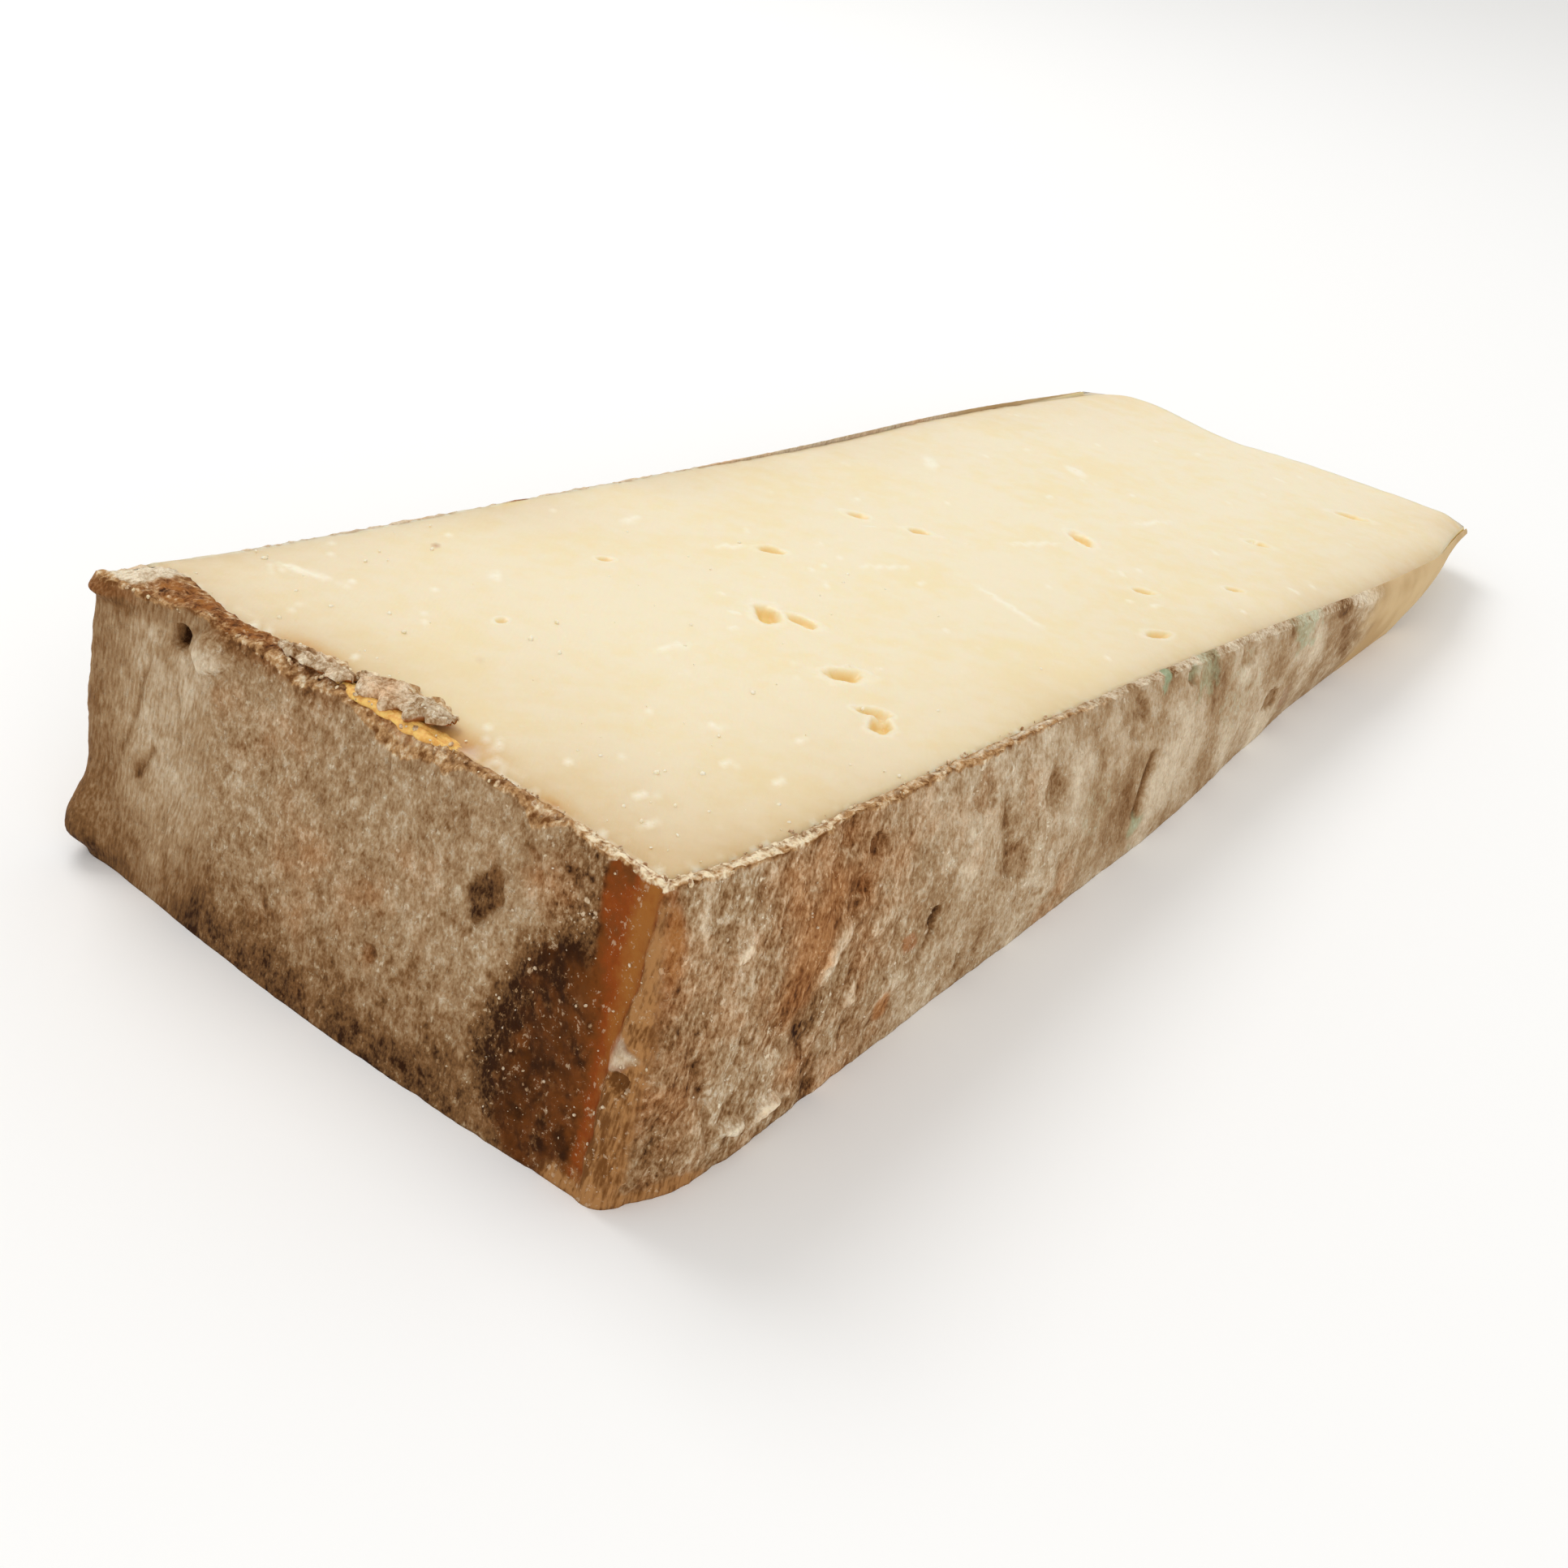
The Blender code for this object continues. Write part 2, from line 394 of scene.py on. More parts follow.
def rind_material(looks):
    """The crust, from bare brown to thick mould, with its orange, green and torn places."""
    recipe = Recipe("cheese_rind")
    grain, swing, total = recipe.grain, recipe.swing, recipe.total
    times, band, blend = recipe.times, recipe.band, recipe.blend
    powder, rust, orange, ridge = recipe.masks("zones")
    green, flecks, bare, lip = recipe.masks("marks")
    contrast, fibres, hairs, _ = recipe.masks("grains")
    dust = grain(0.28, 3, 0.6, (1.0, 1.0, 1.7))
    grit = grain(0.6, 4, 0.6, (1.0, 1.0, 1.5))
    speck = grain(1.3, 4, 0.6)
    patch = grain(4.5, 4, 0.6)
    drift = grain(13, 3, 0.5)
    fibre = grain(0.42, 3, 0.6, (1.0, 1.0, 3.5), (0, 0.4, 0))
    hair = grain(0.28, 2, 0.5, (1.0, 1.0, 8.0), (0.12, 0, 0))
    clumps = total(grain(0.4, 3, 0.7), swing(speck, 0.6))
    fleck = recipe.calc(
        "MAXIMUM", recipe.dots(1.0, 0.34, swing(dust, 1.0)), band(clumps, 0.62, 0.70))
    pepper = recipe.dots(1.7, 0.42, swing(dust, 0.6))
    # How thickly the mould covers the crust, at each grain
    loose = total(swing(dust, 0.85), swing(grit, 0.85), swing(speck, 0.85))
    cover = total(
        powder, times(loose, total(times(contrast, 0.9), 0.25)), swing(patch, 0.26),
        times(swing(fibre, 0.8), fibres), times(swing(hair, 0.5), hairs),
        times(fleck, flecks, 0.45), times(pepper, contrast, -0.2))
    colour = recipe.ramp(
        cover, (0.0, looks.stain), (0.28, looks.crust), (0.5, looks.powder), (1.0, looks.bloom))
    warmth = band(total(rust, swing(drift, 0.9), swing(patch, 0.8)), 0.3, 0.9)
    colour = blend(times(warmth, 0.7), colour, WARMTH, "MULTIPLY")
    # The bare strip, from red brown to amber, and the waxy ridge beside it
    glow = recipe.ramp(
        total(rust, swing(patch, 0.8), swing(speck, 0.5)), (0.1, tone(82, 44, 12)),
        (0.4, tone(114, 62, 22)), (0.62, looks.orange), (0.95, looks.amber))
    orange_share = band(total(orange, swing(speck, 0.7), swing(grit, 0.6)), 0.05, 0.95)
    colour = blend(orange_share, colour, glow)
    wax = blend(
        band(total(powder, swing(speck, 0.8), swing(hair, 1.4)), 0.05, 0.6),
        tone(112, 70, 32), looks.ridge)
    ridge_share = band(total(ridge, swing(speck, 0.6)), 0.2, 0.8)
    colour = blend(ridge_share, colour, wax)
    smooth = recipe.calc("MAXIMUM", orange_share, ridge_share)
    colour = blend(times(flecks, 0.55, fleck, smooth), colour, MOULD_DUST)
    moss = band(total(green, swing(speck, 0.7), swing(grit, 0.5)), 0.1, 0.9)
    colour = blend(times(moss, 0.62), colour, looks.green)
    # Torn edges along the cut: brown and cream granules
    torn = recipe.ramp(
        total(0.22, times(flecks, 0.46), swing(grit, 1.3), swing(speck, 1.3)),
        (0.15, tone(112, 70, 34)), (0.45, tone(184, 142, 96)), (0.8, tone(244, 226, 192)))
    colour = blend(band(total(lip, swing(grit, 0.9)), 0.35, 0.65), colour, torn)
    flesh = blend(band(drift, 0.4, 0.6), tone(192, 160, 116), tone(212, 184, 140))
    colour = blend(bare, colour, flesh)
    rough = total(0.55, times(band(cover, 0.1, 0.6), 0.35), times(smooth, -0.12))
    calm = recipe.calc(
        "SUBTRACT", 1.0, recipe.calc("MAXIMUM", times(bare, 0.8), times(smooth, 0.6)))
    height = times(total(times(loose, 0.9), times(fibre, 0.35), times(fleck, 0.3)), calm)
    return recipe.finish(
        Base_Color=colour, Roughness=rough, Normal=recipe.bump(height, 0.14),
        Subsurface_Weight=0.08, Subsurface_Radius=(1.0, 0.5, 0.25),
        Subsurface_Scale=1.5 * MM, Specular_IOR_Level=0.04)


def crumb_material(name, light, dark):
    """Two tones in small patches."""
    recipe = Recipe(name)
    colour = recipe.blend(recipe.band(recipe.grain(0.5, 3, 0.6), 0.35, 0.65), light, dark)
    return recipe.finish(
        Base_Color=colour, Roughness=0.6, Normal=recipe.bump(recipe.grain(0.2, 2), 0.05),
        Subsurface_Weight=0.15, Subsurface_Radius=(1.0, 0.5, 0.25), Subsurface_Scale=1 * MM)


# ---- meshes

def finish_mesh(shape, name, material):
    """Turns a bmesh into a smooth-shaded piece at the origin."""
    for face in shape.faces:
        face.smooth = True
    mesh = bpy.data.meshes.new(name)
    shape.to_mesh(mesh)
    shape.free()
    mesh.materials.append(material)
    piece = bpy.data.objects.new(name, mesh)
    bpy.context.scene.collection.objects.link(piece)
    return piece


def cut_along(shape, axis, cuts):
    """Cuts every edge of a unit cube that runs along one axis."""
    edges = [e for e in shape.edges if abs((e.verts[0].co - e.verts[1].co)[axis]) > 0.5]
    bmesh.ops.subdivide_edges(shape, edges=edges, cuts=cuts, use_grid_fill=True)


# ---- the paste

# Eyes: U, V, length, width, turn in degrees, share of the full depth
EYES = (
    (58.7, -2.7, 5.6, 3.2, 46, 1.0),
    (60.8, -5.9, 4.7, 2.4, 90, 0.7),
    (53.3, -17.2, 4.6, 3.4, -28, 0.9),
    (47.0, -26.2, 4.4, 2.6, 35, 0.9),
    (48.8, -24.3, 3.6, 1.9, -60, 0.8),
    (75.2, 9.8, 3.6, 2.4, -42, 0.6),
    (97.2, 12.9, 3.4, 2.2, -67, 0.5),
    (100.6, 5.4, 3.4, 2.2, -55, 0.5),
    (122.0, -6.8, 5.8, 2.6, 60, 0.8),
    (112.3, -21.4, 3.2, 2.1, -61, 0.5),
    (99.9, -29.7, 3.9, 2.2, -17, 0.6),
    (181.0, -22.0, 5.4, 2.6, -72, 0.5),
    (149.3, -20.5, 3.8, 2.2, -60, 0.4),
    (126.0, -27.6, 2.6, 1.6, -40, 0.4),
    (53.4, 16.4, 2.2, 1.5, -30, 0.35),
    (30.9, 9.4, 2.0, 1.3, 10, 0.3),
)
# Pale nicks: U, V, length, width, turn in degrees
NICKS = (
    (29.0, -12.2, 1.6, 0.8, 30), (31.8, -17.7, 2.4, 1.3, -50), (26.8, -23.4, 2.2, 1.1, -45),
    (27.9, -28.3, 2.4, 1.2, 20), (15.7, -23.4, 3.0, 0.9, -35), (14.5, -15.6, 1.2, 0.7, -40),
    (21.0, 27.6, 8.0, 1.6, 108), (36.9, -23.9, 2.6, 0.9, 15), (42.0, -3.6, 6.0, 1.0, -14),
    (84.5, -0.4, 8.5, 1.3, -24), (88.8, -15.5, 15.0, 1.2, 72), (113.0, -4.6, 9.5, 1.5, -22),
    (38.6, 18.2, 3.4, 1.4, 40), (71.0, 13.0, 5.0, 1.6, -20), (150.0, 10.0, 6.0, 3.0, 60),
    (128.0, 22.0, 7.0, 2.4, 40), (66.0, 24.0, 4.5, 1.4, 15), (140.0, -8.0, 9.0, 1.4, -12),
    (8.9, -9.8, 2.2, 1.2, 80), (9.5, -12.2, 2.2, 1.1, 65), (10.8, -10.6, 1.8, 0.9, 25),
)
# Gaps between crust and paste along the heel: V, reach, strength
RIM_GAPS = ((-3.5, 6.0, 2.5), (-20.1, 1.6, 1.0), (10.5, 4.5, 1.5))
# Brown specks: U, V, size
SPECKS = ((21.9, 3.5, 0.9), (38.5, 27.2, 1.2), (34.0, -21.8, 0.5))


def in_oval(u, v, mark):
    """Distance from a mark's middle, as a share of the way to its edge."""
    dx, dy = u - mark[0], v - mark[1]
    turn = math.radians(mark[4])
    along = dx * math.cos(turn) + dy * math.sin(turn)
    across = dy * math.cos(turn) - dx * math.sin(turn)
    return math.hypot(along / (mark[2] / 2), across / (mark[3] / 2))


def near_mark(u, v, mark, spare):
    """Whether a place may be touched by a mark: a quick test before the exact one."""
    return abs(u - mark[0]) + abs(v - mark[1]) < mark[2] * 0.75 + spare


def crust_width(v, narrow):
    """How far the rind reaches over the upper cut at the heel: widest at the +V corner."""
    return narrow + 1.6 * step(v, 6, 16) + 3.4 * step(v, 20, 35)


def heel_distance(u, v):
    """Distance of a place on the upper cut from the crust along the heel."""
    side = clamp(abs(v) / 36)
    return u - LEAN + (NEAR_TURN if v < 0 else FAR_TURN) * side * side - crust_width(v, 0.5)


def rim_distance(u, v):
    """Distance from the nearest rinded edge of the upper cut face."""
    sides = min(half_width(u, 1, -1) + v, half_width(u, 1, 1) - v)
    return max(0.0, min(sides, heel_distance(u, v)))


def edge_roll(u, v):
    """How much the cut's long edges are rubbed round: both by the tip, +V a little all along."""
    return max(step(u, 60, 125), 0.25 * step(v, 10, 30) * step(u, 8, 20))


def tip_drop(u, v):
    """How much further the -V edge is rubbed down by the tip."""
    return 0.7 * step(u, 120, 165) * (1 - step(u, 180, 197)) * step(-v, 0, 20)


def knife_marks(u, v):
    """Faint curved ripples that the knife left across the cut."""
    arc = math.hypot(u + 40, v - 160)
    return math.sin(arc * 1.9 + 2 * wander((u, v, 0), 9, 4)) * wander((u, v, 0), 14, 6)


def paste_relief(u, v, depth, nicks):
    """Height above the cut plane, and the paste's four tints, at one place of the top."""
    here = (u, v, 0)
    rim = rim_distance(u, v)
    height = 0.16 * wander(here, 24) + 0.07 * wander(here, 5, 2) + 0.03 * wander(here, 1.8, 3)
    height += 0.05 * knife_marks(u, v)
    ragged = 1 + 0.5 * wander(here, 2.5, 8)
    rolled = edge_roll(u, v)
    height -= 0.30 * hump(rim, 1.6 * ragged) + 0.9 * rolled * hump(rim, 3.2)
    height -= tip_drop(u, v) * hump(rim, 5)
    tan = 0.55 * math.exp(-rim / (2.2 + 1.2 * wander(here, 12, 5)))
    tan += 0.40 * math.exp(-rim / 10) * (0.8 + 0.6 * wander(here, 16, 9))
    # Browner towards the heel, and painted shade: a tan hump at the cut's -V heel corner
    tan += 0.16 * hump(u - 8, 26) + 0.30 * hump(math.hypot(u - 6, v + 36), 15)
    amber = pale = speck = opened = 0.0
    # Gaps under the torn crust
    for middle, reach, deep in RIM_GAPS:
        inwards = hump(heel_distance(u, v) - 0.6, 0.4 + 0.3 * reach)
        gap = min(1.0, deep * hump(v - middle, reach)) * inwards
        amber = max(amber, gap)
        opened = max(opened, gap)
        speck = max(speck, 0.7 * gap)
    for eye in EYES:
        if not near_mark(u, v, eye, 3):
            continue
        away = in_oval(u, v, eye)
        away *= 1 + 0.28 * wander(here, 1.5, eye[0]) + 0.12 * wander(here, 0.6, eye[1])
        inside = 1 - step(away, 0.35, 1.02)
        height -= depth * eye[5] * inside * (0.85 + 0.15 * wander(here, 0.8, 1))
        height += 0.08 * hump(away - 1.2, 0.22)
        amber = max(amber, (1 - step(away, 0.5, 1.05)) * (0.45 + 0.5 * eye[5]))
        # Painted highlight: a pale ring round each eye's rim
        pale = max(pale, 0.3 * hump(away - 1.25, 0.25))
    for nick in nicks:
        if not near_mark(u, v, nick, 1.5):
            continue
        away = in_oval(u, v, nick) * (1 + 0.35 * wander(here, 0.9, nick[0]))
        mark = 1 - step(away, 0.45, 1.15)
        height += 0.10 * mark - 0.12 * hump(away, 0.3) * min(1.0, nick[3])
        pale = max(pale, 0.75 * mark)
    # One amber patch on the +V edge, and brown specks
    amber = max(amber, 0.8 * hump(math.hypot(u - 57, 2.2 * (v - 35.2)), 3.2))
    for mark_u, mark_v, size in SPECKS:
        away = math.hypot(u - mark_u, v - mark_v)
        speck = max(speck, 0.8 * (1 - step(away, size * 0.2, size * 0.5)))
    tatters = wander(here, 1.1, 11) + 0.5 * wander(here, 0.5, 12)
    frayed = step(rim, 2.4, 0.3) * step(tatters, 0.05, 0.4)
    frayed *= 1 - opened
    pale = max(pale, 0.8 * frayed * (1 - step(u, 60, 110)))
    height += 0.12 * frayed
    return height, (clamp(tan), clamp(amber), clamp(pale), clamp(speck))


def scattered_nicks(count):
    """Small nicks strewn over the cut, denser near the heel."""
    rng = random.Random(21)
    nicks = []
    for _ in range(count):
        u = LEAN + 4 + (TOP_LENGTH - 12) * rng.random() ** 1.5
        v = rng.uniform(-33, 33)
        nicks.append((u, v, rng.uniform(0.8, 2.6), rng.uniform(0.4, 0.9), rng.uniform(-80, 80)))
    return NICKS + tuple(nicks)


def build_paste(looks):
    """A finely cut box drawn out into the wedge, with its upper face worked in relief."""
    inset = looks.inset / MM
    shape = bmesh.new()
    bmesh.ops.create_cube(shape, size=1)
    for axis, cuts in enumerate((229, 83, 7)):
        cut_along(shape, axis, cuts)
    for vertex in shape.verts:
        along, side, height = vertex.co.x + 0.5, 2 * vertex.co.y, vertex.co.z + 0.5
        point = body_point(along, side, height)
        point.y -= inset * side * (1 - 0.4 * edge_roll(point.x, point.y))
        point.x += crust_width(point.y, inset) * (1 - step(along, 0, 0.12))
        if height > 0.999:
            point.z = top_height(point.x)
        vertex.co = point
    for cuts, reach in ((1, 3.0), (1, 1.6)):
        edges = [
            e for e in shape.edges
            if abs(e.verts[0].co.z - top_height(e.verts[0].co.x)) < 0.01
            and any(near_mark(*e.verts[0].co.xy, eye, reach) for eye in EYES)]
        bmesh.ops.subdivide_edges(shape, edges=edges, cuts=cuts, use_grid_fill=True)
    tints = shape.verts.layers.float_color.new("tints")
    nicks = scattered_nicks(looks.nicks)
    depth = looks.eye_depth / MM
    for vertex in shape.verts:
        u, v, z = vertex.co
        rim = rim_distance(u, v)
        if u < LEAN + 2 and z < top_height(u) - 0.01:
            gap = clamp(max(deep * hump(v - middle, reach) for middle, reach, deep in RIM_GAPS))
            vertex[tints] = (0.5, gap, 0.0, 0.7 * gap)
        elif abs(z - top_height(u)) < 0.01:
            height, vertex[tints] = paste_relief(u, v, depth, nicks)
            vertex.co.z += height
        else:
            low = 1 - step(z, 0, top_height(u))
            vertex[tints] = (0.5, 0.6 * hump(rim, 2) * (1 - low), 0.0, 0.0)
            if z > 0.01:
                vertex.co.y += 0.2 * wander((u, v, z), 6, 3) * hump(rim, 3)
        vertex.co = placed(vertex.co)
    return finish_mesh(shape, "cheese_paste", paste_material(looks))


# ---- the rind

NEAR_COLUMNS, HEEL_COLUMNS, FAR_COLUMNS = 330, 236, 250
SKIN_ROWS, LIP_ROWS, INNER_ROWS, FOOT_ROWS = 94, 14, 4, 3
SIDE_LENGTH = 200.0
HEEL_WIDTH = 76.0
NEAR_RADIUS, FAR_RADIUS = 2.2, 3.5


def flat_outline(distance, height):
    """A point of the outline before its corners are rounded, and the way out from it."""
    if distance <= 0:
        return body_point(-distance / SIDE_LENGTH, -1, height), Vector((0, -1, 0))
    if distance < HEEL_WIDTH:
        return body_point(0, 2 * distance / HEEL_WIDTH - 1, height), Vector((-1, 0, 0))
    return body_point((distance - HEEL_WIDTH) / SIDE_LENGTH, 1, height), Vector((0, 1, 0))


def outline(distance, height):
    """The rind's path round the wedge, from the tip along -V, the heel and +V."""
    for corner, radius in ((0.0, NEAR_RADIUS), (HEEL_WIDTH, FAR_RADIUS)):
        away = distance - corner
        if abs(away) < radius:
            start, start_out = flat_outline(corner - radius, height)
            end, end_out = flat_outline(corner + radius, height)
            middle = flat_outline(corner, height)[0]
            t = (away + radius) / (2 * radius)
            point = (1 - t) ** 2 * start + 2 * t * (1 - t) * middle + t * t * end
            return point, start_out.lerp(end_out, t).normalized()
    return flat_outline(distance, height)


def column_distance(column):
    """Where a column of the rind's grid stands on the outline: close together at the heel."""
    if column < NEAR_COLUMNS:
        share = 1 - column / NEAR_COLUMNS
        return -SIDE_LENGTH * (0.55 * share + 0.45 * share * share)
    column -= NEAR_COLUMNS
    if column < HEEL_COLUMNS:
        return HEEL_WIDTH * column / HEEL_COLUMNS
    share = (column - HEEL_COLUMNS) / FAR_COLUMNS
    return HEEL_WIDTH + SIDE_LENGTH * (0.55 * share + 0.45 * share * share)


def spot(x, y, centre_x, centre_y, radius, wobble=0.0):
    """1 in the middle of a round mark, falling to 0 past its wobbly edge."""
    away = math.hypot(x - centre_x, y - centre_y) / radius + wobble
    return 1 - step(away, 0.6, 1.1)


def line_mark(x, y, start, end, width):
    """1 on a straight scar from start to end, falling to 0 at its width."""
    ax, ay = start
    bx, by = end
    length = math.hypot(bx - ax, by - ay)
    share = clamp(((x - ax) * (bx - ax) + (y - ay) * (by - ay)) / length ** 2)
    away = math.hypot(x - ax - (bx - ax) * share, y - ay - (by - ay) * share)
    return hump(away, width)


def upright_patches(x, z, width, height, seed):
    """Smooth noise whose features are width mm across and height mm tall."""
    return noise.noise(Vector((x / width, z / height, seed)))


def spots(x, y, marks, wobble):
    """How strongly round marks cover a place: each has a centre, a radius and a strength."""
    return sum(spot(x, y, *mark, wobble) * strength for *mark, strength in marks)


def scars(x, y, marks):
    """The same for straight scars: each has a start, an end, a width and a strength."""
    return sum(line_mark(x, y, *mark) * strength for *mark, strength in marks)


# What a painter of the rind gives at each point: relief in mm, how much of the crust's own
# roughness shows, the shares of its finishes, and how its mould grows
LOOKS = {
    "relief": 0.0, "crust": 1.0, "powder": 0.5, "rust": 0.3, "orange": 0.0, "ridge": 0.0,
    "green": 0.0, "flecks": 0.4, "bare": 0.0, "contrast": 0.5, "fibres": 0.0, "hairs": 0.0,
    "frayed": 1.0}


# Marks on the rind, by side. Pits and clumps: place, radius, strength. Scars: start, end,
# width, strength. Places are V and Z on the heel, and U and Z on the long sides.
HEEL_SPOTS = (
    (-4.5, 13.4, 2.2, 0.5), (-5.9, 9.4, 1.0, 1.2), (-11.5, 9.8, 2.2, 0.5), (-14.7, 17.2, 1.5, 0.5),
    (12.0, 21.4, 1.6, 0.6), (9.0, 6.5, 2.4, 0.4), (3.0, 20.0, 2.4, 0.3), (-12.0, 25.0, 1.8, 0.7),
    (-21.0, 25.0, 1.6, 0.7))
HEEL_SCARS = (
    ((27.6, 24.9), (30.6, 13.2), 0.30, 0.7), ((26.6, 15.0), (28.2, 11.8), 0.55, 1.1),
    ((24.0, 23.0), (23.0, 17.0), 0.25, 0.5), ((24.0, 9.0), (22.0, 2.0), 0.5, 0.4))
NEAR_CLUMPS = (
    (24.5, 13.6, 1.3, 0.9), (28.9, 9.1, 1.3, 1.0), (26.4, 16.0, 1.5, 0.8), (13.6, 20.9, 0.8, 1.1),
    (33.0, 15.0, 1.6, 0.6), (36.0, 7.0, 1.8, 0.6), (31.0, 12.0, 1.2, 0.7), (40.0, 15.5, 1.5, 0.5),
    (17.5, 8.0, 1.2, 0.6))
NEAR_PITS = (
    (32.7, 22.9, 1.4, 1.2), (30.6, 20.2, 1.1, 1.0), (28.4, 26.0, 1.6, 0.9), (42.6, 11.0, 1.2, 1.1),
    (48.8, 2.8, 1.4, 0.8), (50.9, 21.5, 2.4, 0.8), (64.5, 16.2, 2.2, 0.7), (58.0, 11.0, 2.4, 0.5),
    (81.7, 19.4, 3.4, 1.0), (96.4, 18.2, 1.2, 1.1), (112.4, 16.5, 2.6, 0.9), (122.0, 6.6, 2.2, 1.6),
    (124.6, 15.6, 1.3, 1.0), (140.4, 14.2, 2.0, 1.0), (146.0, 8.5, 4.4, 1.1))
NEAR_SCARS = (
    ((55.2, 18.5), (56.0, 10.5), 0.7, 0.8), ((86.9, 11.8), (84.6, 5.2), 0.8, 1.5),
    ((43.4, 11.8), (40.6, 7.6), 0.5, 0.9), ((8.0, 12.5), (10.0, 3.0), 0.6, 0.8),
    ((21.0, 10.0), (24.0, 1.0), 0.8, 0.8))
RUSTY_SPOTS = ((38.0, 10.3, 1.6), (128.0, 4.6, 2.6), (35.0, 5.0, 1.6))
GREEN_SPOTS = (
    (90.2, 19.9, 1.6, 0.9), (100.4, 18.4, 4.5, 0.45), (129.0, 16.2, 5.0, 0.5),
    (85.0, 3.4, 2.2, 0.55), (74.0, 11.0, 4.0, 0.2), (110.0, 11.0, 6.0, 0.2))
FAR_PITS = (
    (24.0, 18.0, 1.6, 0.8), (52.0, 9.0, 2.2, 0.7), (77.0, 14.0, 1.4, 0.9), (104.0, 6.0, 2.6, 0.6),
    (38.0, 24.0, 1.2, 0.7), (66.0, 5.0, 1.5, 0.9))
FAR_SCARS = (
    ((31, 24), (34, 14), 0.6, 0.8), ((88, 17), (91, 8), 0.8, 0.9), ((58, 20), (60, 12), 0.5, 0.6))


